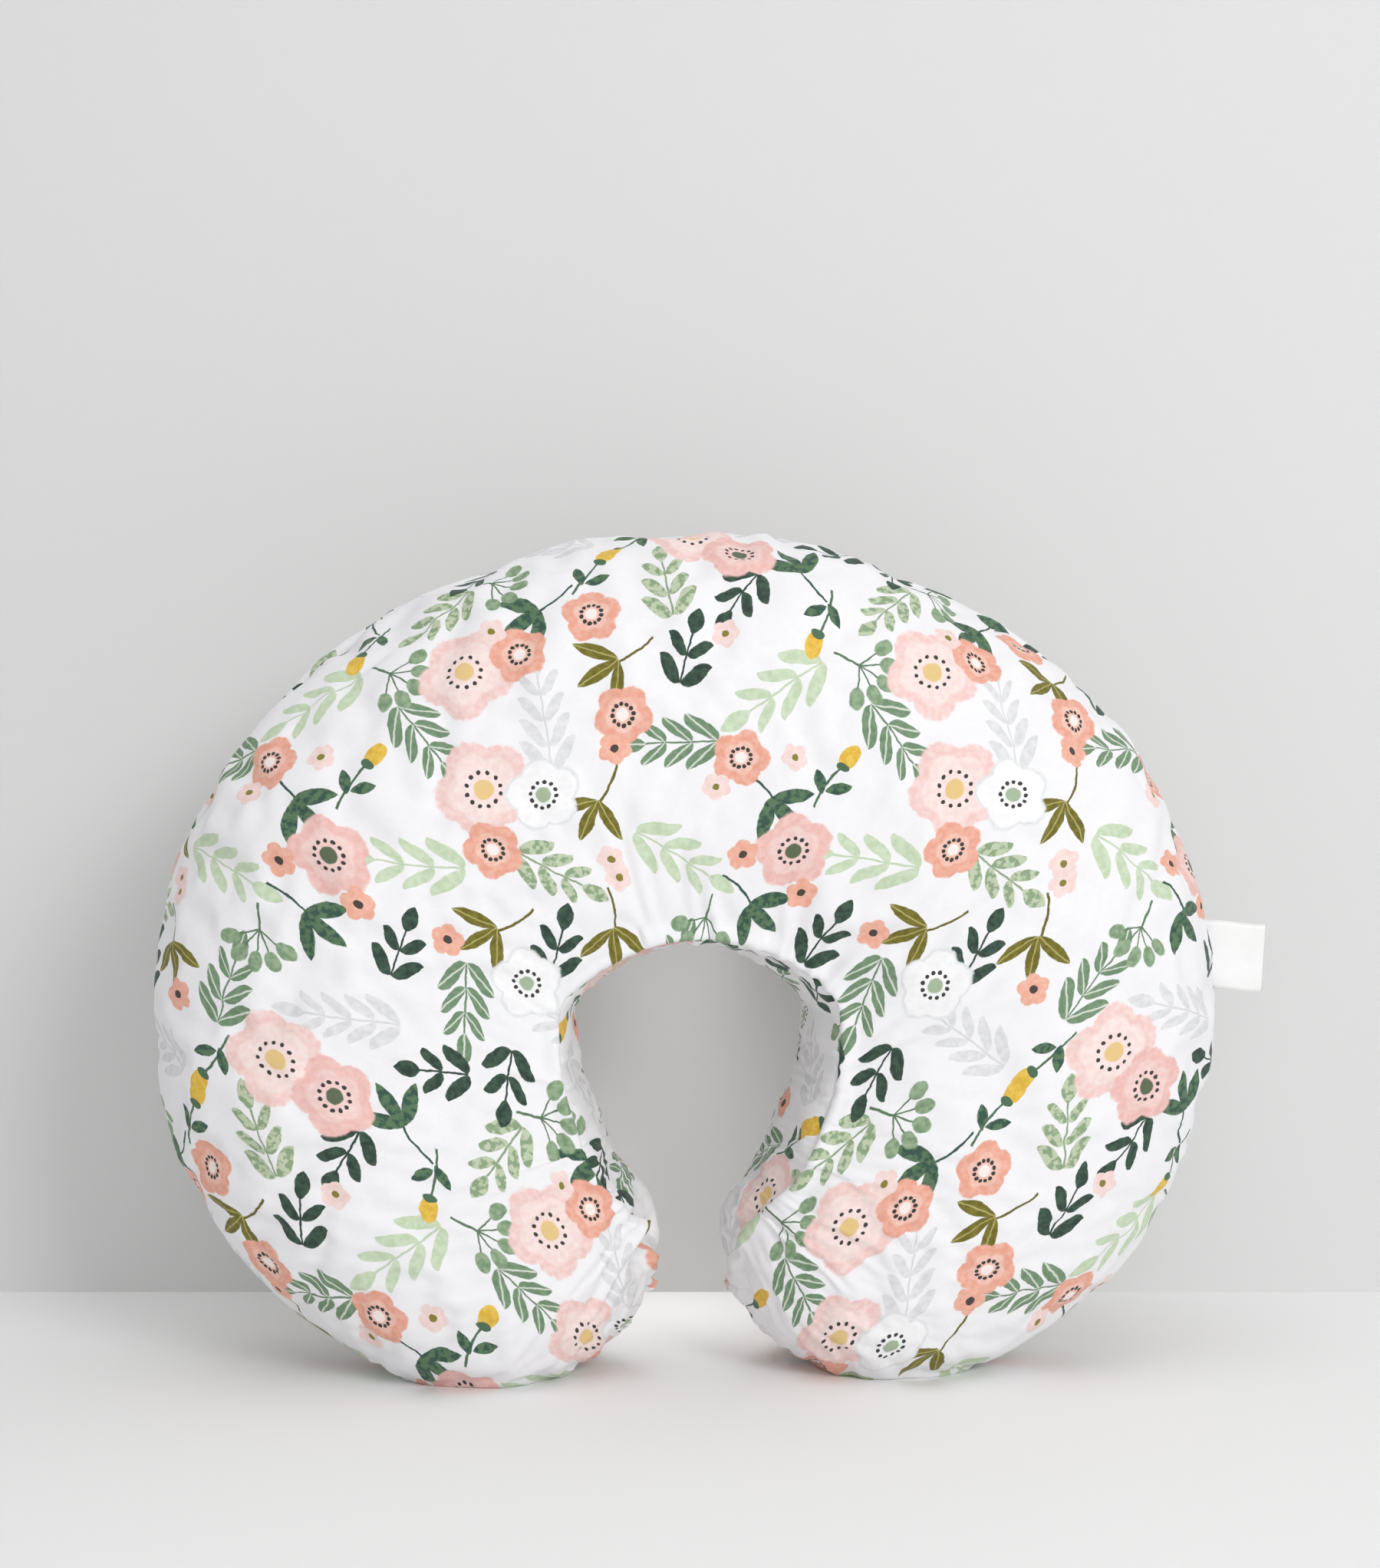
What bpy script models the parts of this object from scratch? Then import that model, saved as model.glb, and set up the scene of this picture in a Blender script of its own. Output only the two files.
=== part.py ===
"""Nursing pillow: a C-shaped fibre pillow in a zipped slipcover, standing on its leg tips.

Metres, +Z up, front facing -Y. The origin is on the floor under the middle of the object.
"""
import math

import bmesh
import bpy
from mathutils import Matrix, Vector

# Outline: all radii are measured from the arch centre, angles from straight up.
ARCH_HEIGHT = 0.128          # height of the arch centre above the floor
ARCH_RADIUS = 0.284          # outer seam over the arch
WAIST_RADIUS = 0.085         # inner seam over the waist opening
ARCH_ANGLE = 48.0            # the arch is a true circle up to this angle
END_ANGLE = 166.5            # where the outer and inner seams meet, on the leg tip
# angle, outer seam radius, inner seam radius
STATIONS = [
    (ARCH_ANGLE, ARCH_RADIUS, WAIST_RADIUS), (62.0, 0.279, 0.0745), (75.0, 0.2685, 0.0665),
    (90.0, 0.2555, 0.0590), (105.0, 0.2355, 0.0560), (120.0, 0.209, 0.0550), (135.0, 0.187, 0.0545),
    (146.0, 0.167, 0.0560), (155.0, 0.141, 0.0600), (161.0, 0.118, 0.0690), (165.0, 0.099, 0.0800),
    (END_ANGLE, 0.0905, 0.0875),
]
HALF_DEPTH = 0.080           # crown of each panel above the middle plane
CROWN_INSET = 0.097          # from the outer seam to the crown
FULL_SECTION = 0.190         # sections at least this wide reach the full depth
INNER_ARC = 65.0             # how far the panel turns down towards the inner seam, degrees
TIP_RISE = 0.0020            # what is left of the dome where a layer ends, on the leg tip

# Inner gusset: half width and bulge into the opening, against the angle.
GUSSET_STATIONS = [
    (0.0, 0.058, 0.004), (50.0, 0.058, 0.009), (90.0, 0.058, 0.012), (120.0, 0.054, 0.011),
    (146.0, 0.040, 0.009), (155.0, 0.031, 0.008), (161.0, 0.021, 0.006), (165.0, 0.009, 0.002),
    (END_ANGLE, 0.002, 0.0),
]

# Layers, as depths below the outside of the cover.
COVER_INSIDE = 0.0009
TAPE_OUTSIDE = 0.00125
TAPE_INSIDE = 0.00185
CASING_OUTSIDE = 0.0023
CASING_INSIDE = 0.0031
FILLING_OUTSIDE = 0.0036
SEAM_GAP = 0.0002            # half of the gap where two cut pieces meet

# Zip, in the back panel behind the outer seam, along the arch.
ZIP_ANGLE = 36.0             # half of the slit
ZIP_ROW = 34.0               # profile angle of the middle of the slit
ZIP_HALF_ROW = 2.35          # half of the slit's width, as a profile angle
ZIP_RELIEF = 0.0026          # the casing lies this much deeper under the slider
TAPE_REACH = 0.30            # tape width, as a share of the next row of the panel
CHAIN_INNER = 0.0008
CHAIN_OUTER = 0.0026
CHAIN_TOP = 0.0005
CHAIN_BOTTOM = -0.0019
SLIDER_ANGLE = 32.5          # the slider parks here with the cover closed
STOP_ANGLE = 35.0

# Side tag, in the outer seam on the right.
TAG_REACH = 0.030
TAG_WIDTH = 0.0345
TAG_HEIGHT = 0.202
TAG_TILT = 3.5
CENTRE_SHIFT = -TAG_REACH / 2

ARCH_COLUMNS = 16
LEG_COLUMNS = 18
OUTER_ROWS = (0.0, 16.0, ZIP_ROW - ZIP_HALF_ROW, ZIP_ROW + ZIP_HALF_ROW, 58.0, 90.0)
INNER_ROWS = (28.0, INNER_ARC)
ROWS = len(OUTER_ROWS) + len(INNER_ROWS)
GUSSET_ROWS = 3

CENTRE = Vector((CENTRE_SHIFT, 0.0, ARCH_HEIGHT))


def clear_scene():
    for thing in list(bpy.data.objects):
        bpy.data.objects.remove(thing, do_unlink=True)


def make_material(name, colour, roughness, metallic=0.0):
    material = bpy.data.materials.new(name)
    material.use_nodes = True
    shader = material.node_tree.nodes["Principled BSDF"]
    shader.inputs["Base Color"].default_value = (*colour, 1.0)
    shader.inputs["Roughness"].default_value = roughness
    shader.inputs["Metallic"].default_value = metallic
    return material


def smooth_table(table, angle, column):
    """Read one column of a station table with a smooth curve through its rows."""
    if angle <= table[0][0]:
        return table[0][column]
    if angle >= table[-1][0]:
        return table[-1][column]
    last = len(table) - 1
    index = max(i for i in range(last) if table[i][0] <= angle)

    def slope(i):
        low, high = max(i - 1, 0), min(i + 1, last)
        return (table[high][column] - table[low][column]) / (table[high][0] - table[low][0])

    span = table[index + 1][0] - table[index][0]
    t = (angle - table[index][0]) / span
    start, end = table[index][column], table[index + 1][column]
    start_slope = slope(index) * span if index else 0.0
    end_slope = slope(index + 1) * span
    return ((2 * t ** 3 - 3 * t ** 2 + 1) * start + (t ** 3 - 2 * t ** 2 + t) * start_slope
            + (3 * t ** 2 - 2 * t ** 3) * end + (t ** 3 - t ** 2) * end_slope)


def radial(angle):
    turn = math.radians(angle)
    return Vector((math.sin(turn), 0.0, math.cos(turn)))


def section_size(side, closing):
    """Outer radius, section width and dome height; the dome closes where a layer ends."""
    outer_radius = smooth_table(STATIONS, side, 1)
    section = outer_radius - smooth_table(STATIONS, side, 2)
    depth = HALF_DEPTH * math.sin(math.pi / 2 * min(1.0, section / FULL_SECTION))
    return outer_radius, section, TIP_RISE if closing else depth


def panel_surface(angle, row_angle, inner, closing=False):
    """A point on the front panel. inner says which side of the crown the row is on."""
    side = abs(angle)
    outer_radius, section, depth = section_size(side, closing)
    crown = min(CROWN_INSET, section / 2)
    turn = math.radians(row_angle)
    if not inner:
        inset = crown * (1 - math.cos(turn))
        rise = depth * math.sin(turn)
    else:
        edge = min(smooth_table(GUSSET_STATIONS, side, 1), depth * 0.97)
        last = math.radians(INNER_ARC)
        inset = crown + (section - crown) * math.sin(turn) / math.sin(last)
        rise = edge + (depth - edge) * (math.cos(turn) - math.cos(last)) / (1 - math.cos(last))
    point = CENTRE + radial(angle) * (outer_radius - inset)
    point.y = -SEAM_GAP - rise
    return point


def row_place(row):
    """A row number as its profile angle and its side of the crown."""
    if row < len(OUTER_ROWS):
        return OUTER_ROWS[row], False
    return INNER_ROWS[row - len(OUTER_ROWS)], True


def column_angles():
    arch = [ARCH_ANGLE * i / (ARCH_COLUMNS // 2) for i in range(ARCH_COLUMNS // 2 + 1)]
    leg = [ARCH_ANGLE + (END_ANGLE - ARCH_ANGLE) * (1 - (1 - i / LEG_COLUMNS) ** 1.6)
           for i in range(1, LEG_COLUMNS + 1)]
    half = arch + leg
    return [-angle for angle in reversed(half[1:])] + half


COLUMNS = column_angles()


def surface_normal(point_at, first, second, step_first, step_second):
    along = point_at(first + step_first, second) - point_at(first - step_first, second)
    across = point_at(first, second + step_second) - point_at(first, second - step_second)
    return along.cross(across).normalized()


def gusset_surface(angle, share, closing=False):
    """A point on the inner gusset. share runs from -1 at the front seam to 1 at the back."""
    side = abs(angle)
    outer_radius, section, depth = section_size(side, closing)
    radius = outer_radius - section
    half = min(smooth_table(GUSSET_STATIONS, side, 1), depth * 0.97)
    bulge = smooth_table(GUSSET_STATIONS, side, 2) * math.cos(math.pi / 2 * share)
    step = 0.2
    low, high = max(side - step, 0.0), min(side + step, END_ANGLE)
    edge_low = radial(low) * smooth_table(STATIONS, low, 2)
    edge_high = radial(high) * smooth_table(STATIONS, high, 2)
    along = (edge_high - edge_low).normalized()
    into_opening = Vector((-along.z, 0.0, along.x))
    if into_opening.dot(radial(side)) > 0:
        into_opening = -into_opening
    point = radial(side) * radius + into_opening * bulge
    if angle < 0:
        point.x = -point.x
    point += CENTRE
    point.y = (half + SEAM_GAP) * share
    return point


def outward_panel_normal(angle, row):
    row_angle, inner = row_place(row)
    if not inner and row_angle == 0.0:
        return radial(angle) if abs(angle) < ARCH_ANGLE else seam_normal(angle, 1)
    nudge = -0.5 if inner and row_angle == INNER_ARC else 0.0

    def at(first, second):
        return panel_surface(first, second, inner)

    keep = min(max(angle, -END_ANGLE + 0.5), END_ANGLE - 0.5)
    return -surface_normal(at, keep, row_angle + nudge, 0.3, 0.4)


def seam_normal(angle, column):
    """The in-plane normal of a seam, away from the filling."""
    side = min(max(abs(angle), 0.5), END_ANGLE - 0.5)
    low = radial(side - 0.4) * smooth_table(STATIONS, side - 0.4, column)
    high = radial(side + 0.4) * smooth_table(STATIONS, side + 0.4, column)
    along = (high - low).normalized()
    normal = Vector((-along.z, 0.0, along.x))
    outward = 1 if column == 1 else -1
    if normal.dot(radial(side)) * outward < 0:
        normal = -normal
    if angle < 0:
        normal.x = -normal.x
    return normal


def settle(point, depth):
    """Flatten what would lie below the floor, each layer above the one outside it."""
    point.z = max(point.z, depth)
    return point


def zip_relief(angle, row):
    near_slit = row in (2, 3)
    return ZIP_RELIEF if near_slit and abs(angle) <= ZIP_ANGLE + 0.1 else 0.0


def trimmed_columns(depth):
    """The deeper layers end sooner, so that they fit inside the pointed tips."""
    if depth < CASING_OUTSIDE:
        return 0
    return 1 if depth < FILLING_OUTSIDE else 2


def is_last_column(column, depth):
    trimmed = trimmed_columns(depth)
    return column in (trimmed, len(COLUMNS) - 1 - trimmed)


def panel_vertex(column, row, depth, back):
    """A vertex of a panel layer at one depth; the back panel mirrors the front one."""
    angle = COLUMNS[column]
    row_angle, inner = row_place(row)
    closing = is_last_column(column, depth)
    point = panel_surface(angle, row_angle, inner, closing)
    normal = outward_panel_normal(angle, row)
    if row == ROWS - 1:
        normal = (normal + seam_normal(angle, 2)).normalized() * 1.04
    if closing:
        share = row / (ROWS - 1)
        normal = seam_normal(angle, 1).lerp(seam_normal(angle, 2), share).normalized()
    if back and depth > TAPE_INSIDE:
        depth += zip_relief(angle, row)
    point = point - normal * depth
    point.y = min(point.y, -SEAM_GAP)
    if back:
        point.y = -point.y
    return settle(point, depth)


def layer_columns(depth):
    trimmed = trimmed_columns(depth)
    return list(range(trimmed, len(COLUMNS) - trimmed))


def gusset_vertex(column, row, depth):
    share = -1 + 2 * row / GUSSET_ROWS
    angle = COLUMNS[column]
    normal = seam_normal(angle, 2)
    point = gusset_surface(angle, share, is_last_column(column, depth))
    if row in (0, GUSSET_ROWS):
        normal = (normal + Vector((0.0, math.copysign(0.55, share), 0.0))).normalized() * 1.04
    point = point - normal * depth
    trim = SEAM_GAP * 2.5
    if row == 0:
        point.y = min(point.y + trim, -SEAM_GAP)
    if row == GUSSET_ROWS:
        point.y = max(point.y - trim, SEAM_GAP)
    return settle(point, depth)


def ring_faces(mesh, rings, mirrored_from):
    """Triangles between closed rings; the diagonal turns where the rows run backwards."""
    count = len(rings[0])
    for ring, after in zip(rings, rings[1:]):
        for k in range(count):
            a, b, c, d = ring[k], after[k], after[(k + 1) % count], ring[(k + 1) % count]
            if k >= mirrored_from:
                mesh.faces.new((a, b, d))
                mesh.faces.new((b, c, d))
            else:
                mesh.faces.new((a, b, c))
                mesh.faces.new((a, c, d))


def shell(mesh, columns, rows, vertex, outside, inside, skip=None):
    """A closed thin shell between two depths of one surface, with an optional slit."""
    outer = [[mesh.verts.new(vertex(i, j, outside)) for j in rows] for i in columns]
    inner = [[mesh.verts.new(vertex(i, j, inside)) for j in rows] for i in columns]
    top = []
    for i in range(len(columns) - 1):
        for j in range(len(rows) - 1):
            if skip and skip(columns[i], rows[j]):
                continue
            top.append((outer[i][j], outer[i + 1][j], outer[i + 1][j + 1]))
            top.append((outer[i][j], outer[i + 1][j + 1], outer[i][j + 1]))
    twin = {}
    for i in range(len(columns)):
        for j in range(len(rows)):
            twin[outer[i][j]] = inner[i][j]
    edges = {}
    for corners in top:
        mesh.faces.new(corners)
        mesh.faces.new([twin[corner] for corner in reversed(corners)])
        for k in range(3):
            pair = (corners[k], corners[(k + 1) % 3])
            edges[pair] = True
    for first, second in edges:
        if (second, first) not in edges:
            mesh.faces.new((second, first, twin[first]))
            mesh.faces.new((second, twin[first], twin[second]))
    loose = [vertex for vertex in mesh.verts if not vertex.link_faces]
    bmesh.ops.delete(mesh, geom=loose, context="VERTS")


def finish_mesh(mesh, name, material, origin=None, sharp=30.0):
    """Close a mesh into an object; an origin moves the object without moving its shape."""
    bmesh.ops.recalc_face_normals(mesh, faces=mesh.faces)
    if origin is not None:
        bmesh.ops.translate(mesh, verts=mesh.verts, vec=-origin)
    data = bpy.data.meshes.new(name)
    mesh.to_mesh(data)
    mesh.free()
    data.materials.append(material)
    data.shade_smooth()
    data.set_sharp_from_angle(angle=math.radians(sharp))
    thing = bpy.data.objects.new(name, data)
    if origin is not None:
        thing.location = origin
    bpy.context.scene.collection.objects.link(thing)
    return thing


def make_panel(name, material, outside, inside, back, slit=False):
    mesh = bmesh.new()

    def vertex(column, row, depth):
        return panel_vertex(column, row, depth, back)

    def in_slit(column, row):
        return row == 2 and -ZIP_ANGLE - 0.1 <= COLUMNS[column] < ZIP_ANGLE - 0.1

    columns = layer_columns(outside)
    shell(mesh, columns, list(range(ROWS)), vertex, outside, inside, in_slit if slit else None)
    finish_mesh(mesh, name, material)


def make_gusset(name, material, outside, inside):
    mesh = bmesh.new()
    rows = list(range(GUSSET_ROWS + 1))
    shell(mesh, layer_columns(outside), rows, gusset_vertex, outside, inside)
    finish_mesh(mesh, name, material)


def make_filling(material):
    """The filling is one closed solid, just inside the casing."""
    mesh = bmesh.new()
    rings = []
    for i in layer_columns(FILLING_OUTSIDE):
        front = [panel_vertex(i, j, FILLING_OUTSIDE, False) for j in range(ROWS)]
        back = [panel_vertex(i, j, FILLING_OUTSIDE, True) for j in range(ROWS)]
        middle = [gusset_vertex(i, j, FILLING_OUTSIDE) for j in range(1, GUSSET_ROWS)]
        ring = front + middle + list(reversed(back))
        rings.append([mesh.verts.new(point) for point in ring])
    ring_faces(mesh, rings, ROWS + GUSSET_ROWS - 1)
    for ring in (rings[0], rings[-1]):
        count = len(ring)
        for k in range(count // 2 - 1):
            a, b, c, d = ring[k], ring[k + 1], ring[count - 2 - k], ring[count - 1 - k]
            mesh.faces.new((a, b, c))
            mesh.faces.new((a, c, d))
    finish_mesh(mesh, "fibre_filling", material)


def layer_point(column, row, depth):
    """A point of a back panel layer between two rows, on the flat facet between them."""
    low = math.floor(row)
    share = row - low
    point = panel_vertex(column, low, depth, True)
    if share > 0:
        point = point.lerp(panel_vertex(column, low + 1, depth, True), share)
    return point


def make_layer_patch(name, material, first_angle, last_angle, rows, outside, inside):
    """A flat strip or label that lies between the cover and the casing."""
    columns = [i for i, angle in enumerate(COLUMNS) if first_angle - 0.1 <= angle <= last_angle + 0.1]
    mesh = bmesh.new()

    def vertex(column, row, depth):
        return layer_point(column, row, depth)

    shell(mesh, columns, rows, vertex, outside, inside)
    finish_mesh(mesh, name, material)


def zip_frame(angle):
    """Directions on the slit's middle line: along it, across it and out of the fabric."""
    turn = math.radians(ZIP_ROW)
    inset = CROWN_INSET * (1 - math.cos(turn))
    rise = HALF_DEPTH * math.sin(turn)
    across = Vector((-CROWN_INSET * math.sin(turn), HALF_DEPTH * math.cos(turn))).normalized()
    outward = radial(angle)
    origin = CENTRE + outward * (ARCH_RADIUS - inset)
    origin.y = SEAM_GAP + rise
    side = outward * across.x + Vector((0.0, across.y, 0.0))
    up = outward * across.y + Vector((0.0, -across.x, 0.0))
    along = Vector((outward.z, 0.0, -outward.x))
    return origin, along, side, up


def swept_strip(mesh, first_angle, last_angle, steps, profile):
    """Sweep a closed profile of (across, up) points along the slit's arc."""
    rings = []
    for i in range(steps + 1):
        origin, _, side, up = zip_frame(first_angle + (last_angle - first_angle) * i / steps)
        rings.append([mesh.verts.new(origin + side * across + up * height)
                      for across, height in profile])
    for ring, after in zip(rings, rings[1:]):
        for k in range(len(profile)):
            second = (k + 1) % len(profile)
            mesh.faces.new((ring[k], after[k], after[second], ring[second]))
    mesh.faces.new(rings[0])
    mesh.faces.new(list(reversed(rings[-1])))


def box_profile(low_side, high_side, low_up, high_up):
    return [(low_side, low_up), (high_side, low_up), (high_side, high_up), (low_side, high_up)]


def make_chain(name, material, sign):
    low, high = sorted((sign * CHAIN_INNER, sign * CHAIN_OUTER))
    mesh = bmesh.new()
    limit = STOP_ANGLE - 0.55
    swept_strip(mesh, -limit, limit, 36, box_profile(low, high, CHAIN_BOTTOM, CHAIN_TOP))
    finish_mesh(mesh, name, material)


def make_stop(name, material, angle):
    mesh = bmesh.new()
    profile = box_profile(-CHAIN_OUTER, CHAIN_OUTER, CHAIN_BOTTOM, CHAIN_TOP + 0.0004)
    swept_strip(mesh, angle - 0.4, angle + 0.4, 1, profile)
    bmesh.ops.bevel(mesh, geom=mesh.edges[:], offset=0.0003, segments=1, affect="EDGES", profile=0.5)
    finish_mesh(mesh, name, material)


def add_box(mesh, size, centre):
    made = bmesh.ops.create_cube(mesh, size=1.0)["verts"]
    bmesh.ops.scale(mesh, verts=made, vec=size)
    bmesh.ops.translate(mesh, verts=made, vec=centre)
    return made


def slider_block(size, centre):
    mesh = bmesh.new()
    add_box(mesh, size, centre)
    data = bpy.data.meshes.new("slider_block")
    mesh.to_mesh(data)
    mesh.free()
    thing = bpy.data.objects.new("slider_block", data)
    bpy.context.scene.collection.objects.link(thing)
    return thing


SLIDER_LENGTH = 0.0120
SLIDER_WIDTH = 0.0090
TOP_PLATE = (0.0011, 0.0023)       # heights above the fabric
BOTTOM_PLATE = (-0.0038, -0.0028)
POST_WIDTH = 0.0010
POST_LENGTH = 0.0030
BRIDGE_HALF = 0.0042               # half length of the bridge that holds the pull tab
BRIDGE_LEG = 0.0011
BRIDGE_WIDTH = 0.0016
BRIDGE_TOP = 0.0056
BRIDGE_CLEAR = 0.0045
PULL_PIVOT = 0.0033                # height of the pull tab's cross bar
PULL_BAR = 0.00045                 # its half thickness
PULL_LENGTH = 0.0240
PULL_WIDTH = 0.0056
PULL_WINDOW = (0.0030, 0.0056)     # width and length of the hole round the bridge


def local_box(low, high):
    size = Vector(high) - Vector(low)
    return size, (Vector(high) + Vector(low)) / 2


def union_pieces(name, pieces, bevel):
    """Join boxes into one solid with exact unions, then break its edges."""
    body = slider_block(*pieces[0])
    body.name = name
    body.data.name = name
    for size, centre in pieces[1:]:
        tool = slider_block(size, centre)
        cut = body.modifiers.new("union", "BOOLEAN")
        cut.operation = "UNION"
        cut.solver = "EXACT"
        cut.object = tool
        bpy.context.view_layer.update()
        shape = bpy.data.meshes.new_from_object(body.evaluated_get(bpy.context.evaluated_depsgraph_get()))
        body.modifiers.clear()
        body.data = shape
        bpy.data.objects.remove(tool, do_unlink=True)
    edge = body.modifiers.new("edges", "BEVEL")
    edge.width = bevel
    edge.segments = 1
    edge.limit_method = "ANGLE"
    return body


def place_on_zip(thing, matrix, pivot):
    """Turn a local shape into place, with the object's origin on its joint axis."""
    thing.data.transform(matrix)
    thing.data.transform(Matrix.Translation(-pivot))
    thing.location = pivot


def make_slider(material):
    origin, along, side, up = zip_frame(SLIDER_ANGLE)
    matrix = Matrix((
        (along.x, side.x, up.x, origin.x),
        (along.y, side.y, up.y, origin.y),
        (along.z, side.z, up.z, origin.z),
        (0.0, 0.0, 0.0, 1.0),
    ))
    length, width = SLIDER_LENGTH / 2, SLIDER_WIDTH / 2
    nose = length - 0.0008
    pieces = [
        local_box((-length, -width, TOP_PLATE[0]), (length, width, TOP_PLATE[1])),
        local_box((-length, -width, BOTTOM_PLATE[0]), (length, width, BOTTOM_PLATE[1])),
        local_box((nose - POST_LENGTH, -POST_WIDTH / 2, BOTTOM_PLATE[1] - 0.0005),
                  (nose, POST_WIDTH / 2, TOP_PLATE[0] + 0.0005)),
        local_box((-BRIDGE_HALF, -BRIDGE_WIDTH / 2, TOP_PLATE[1] - 0.0005),
                  (-BRIDGE_HALF + BRIDGE_LEG, BRIDGE_WIDTH / 2, BRIDGE_TOP)),
        local_box((BRIDGE_HALF - BRIDGE_LEG, -BRIDGE_WIDTH / 2, TOP_PLATE[1] - 0.0005),
                  (BRIDGE_HALF, BRIDGE_WIDTH / 2, BRIDGE_TOP)),
        local_box((-BRIDGE_HALF + 0.0002, -BRIDGE_WIDTH / 2, BRIDGE_CLEAR),
                  (BRIDGE_HALF - 0.0002, BRIDGE_WIDTH / 2, BRIDGE_TOP)),
    ]
    slider = union_pieces("zip_slider", pieces, 0.00015)
    place_on_zip(slider, matrix, CENTRE)
    slider.data.materials.clear()
    slider.data.materials.append(material)
    return slider, matrix


def make_pull_tab(material, slider, matrix):
    """The tab lies back over the closed chain and turns about its cross bar."""
    half_width = PULL_WIDTH / 2
    window_width, window_length = PULL_WINDOW
    low, high = PULL_PIVOT - PULL_BAR, PULL_PIVOT + PULL_BAR
    rim = window_width / 2
    pieces = [
        local_box((-PULL_BAR, -half_width, low), (PULL_BAR, half_width, high)),
        local_box((-window_length - 0.0004, rim, low), (0.0, half_width, high)),
        local_box((-window_length - 0.0004, -half_width, low), (0.0, -rim, high)),
        local_box((-PULL_LENGTH, -half_width, low), (-window_length, half_width, high)),
    ]
    tab = union_pieces("zip_pull_tab", pieces, 0.0001)
    pivot = matrix @ Vector((0.0, 0.0, PULL_PIVOT))
    place_on_zip(tab, matrix, pivot)
    tab.data.materials.clear()
    tab.data.materials.append(material)
    tab.parent = slider
    tab.location = pivot - CENTRE


def make_side_tag(material):
    """A ribbon folded in half, with its fold outwards, seen as a thin U from above."""
    thickness, gap = 0.0005, 0.0006
    widest = max(panel_surface(angle / 2, 0.0, False).x for angle in range(120, 170))
    outline = [
        (0.0, gap / 2), (0.0, gap / 2 + thickness), (TAG_REACH - 0.001, gap / 2 + thickness),
        (TAG_REACH, 0.0), (TAG_REACH - 0.001, -gap / 2 - thickness), (0.0, -gap / 2 - thickness),
        (0.0, -gap / 2), (TAG_REACH - 0.0016, -gap / 2), (TAG_REACH - 0.0016, gap / 2),
    ]
    mesh = bmesh.new()
    bottom = [mesh.verts.new((x, y, -TAG_WIDTH / 2)) for x, y in outline]
    face = mesh.faces.new(bottom)
    made = bmesh.ops.extrude_face_region(mesh, geom=[face])["geom"]
    top = [part for part in made if isinstance(part, bmesh.types.BMVert)]
    bmesh.ops.translate(mesh, verts=top, vec=(0.0, 0.0, TAG_WIDTH))
    turn = Matrix.Rotation(math.radians(TAG_TILT), 4, "Y")
    slack = math.sin(math.radians(TAG_TILT)) * TAG_WIDTH / 2
    bmesh.ops.transform(mesh, verts=mesh.verts, matrix=turn)
    bmesh.ops.translate(mesh, verts=mesh.verts, vec=(widest + 0.0004 + slack, 0.0, TAG_HEIGHT))
    finish_mesh(mesh, "side_tag", material)


def build():
    clear_scene()
    print_white = make_material("printed cotton", (0.90, 0.89, 0.90), 0.85)
    satin = make_material("satin ribbon", (0.88, 0.88, 0.87), 0.45)
    tape = make_material("zip tape", (0.85, 0.85, 0.84), 0.8)
    coil = make_material("zip coil", (0.86, 0.86, 0.85), 0.4)
    metal = make_material("zip metal", (0.78, 0.78, 0.80), 0.3, 1.0)
    casing = make_material("casing cloth", (0.86, 0.85, 0.82), 0.9)
    label = make_material("label cloth", (0.88, 0.88, 0.86), 0.6)
    fibre = make_material("fibre filling", (0.92, 0.92, 0.91), 1.0)

    make_panel("cover_front_panel", print_white, 0.0, COVER_INSIDE, back=False)
    make_panel("cover_back_panel", print_white, 0.0, COVER_INSIDE, back=True, slit=True)
    make_gusset("cover_inner_gusset", print_white, 0.0, COVER_INSIDE)
    make_side_tag(satin)

    upper = [2 - TAPE_REACH, 2 + 0.06]
    lower = [3 - 0.06, 3 + TAPE_REACH]
    make_layer_patch("zip_tape_upper", tape, -ZIP_ANGLE, ZIP_ANGLE, upper, TAPE_OUTSIDE, TAPE_INSIDE)
    make_layer_patch("zip_tape_lower", tape, -ZIP_ANGLE, ZIP_ANGLE, lower, TAPE_OUTSIDE, TAPE_INSIDE)
    make_chain("zip_chain_upper", coil, -1)
    make_chain("zip_chain_lower", coil, 1)
    make_stop("zip_top_stop", metal, STOP_ANGLE)
    make_stop("zip_end_stop", metal, -STOP_ANGLE)
    slider, matrix = make_slider(metal)
    make_pull_tab(metal, slider, matrix)
    make_layer_patch("cover_care_label", label, -30.0, -24.0, [4.1, 4.9], TAPE_OUTSIDE, TAPE_INSIDE)
    make_layer_patch("casing_label", label, 24.0, 30.0, [4.1, 4.9], TAPE_OUTSIDE, TAPE_INSIDE)

    make_panel("casing_front_panel", casing, CASING_OUTSIDE, CASING_INSIDE, back=False)
    make_panel("casing_back_panel", casing, CASING_OUTSIDE, CASING_INSIDE, back=True)
    make_gusset("casing_inner_gusset", casing, CASING_OUTSIDE, CASING_INSIDE)
    make_filling(fibre)


build()
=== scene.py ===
import bisect
import math
import random

import bmesh
import bpy
import numpy as np
from mathutils import Matrix, Vector, kdtree, noise


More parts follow.
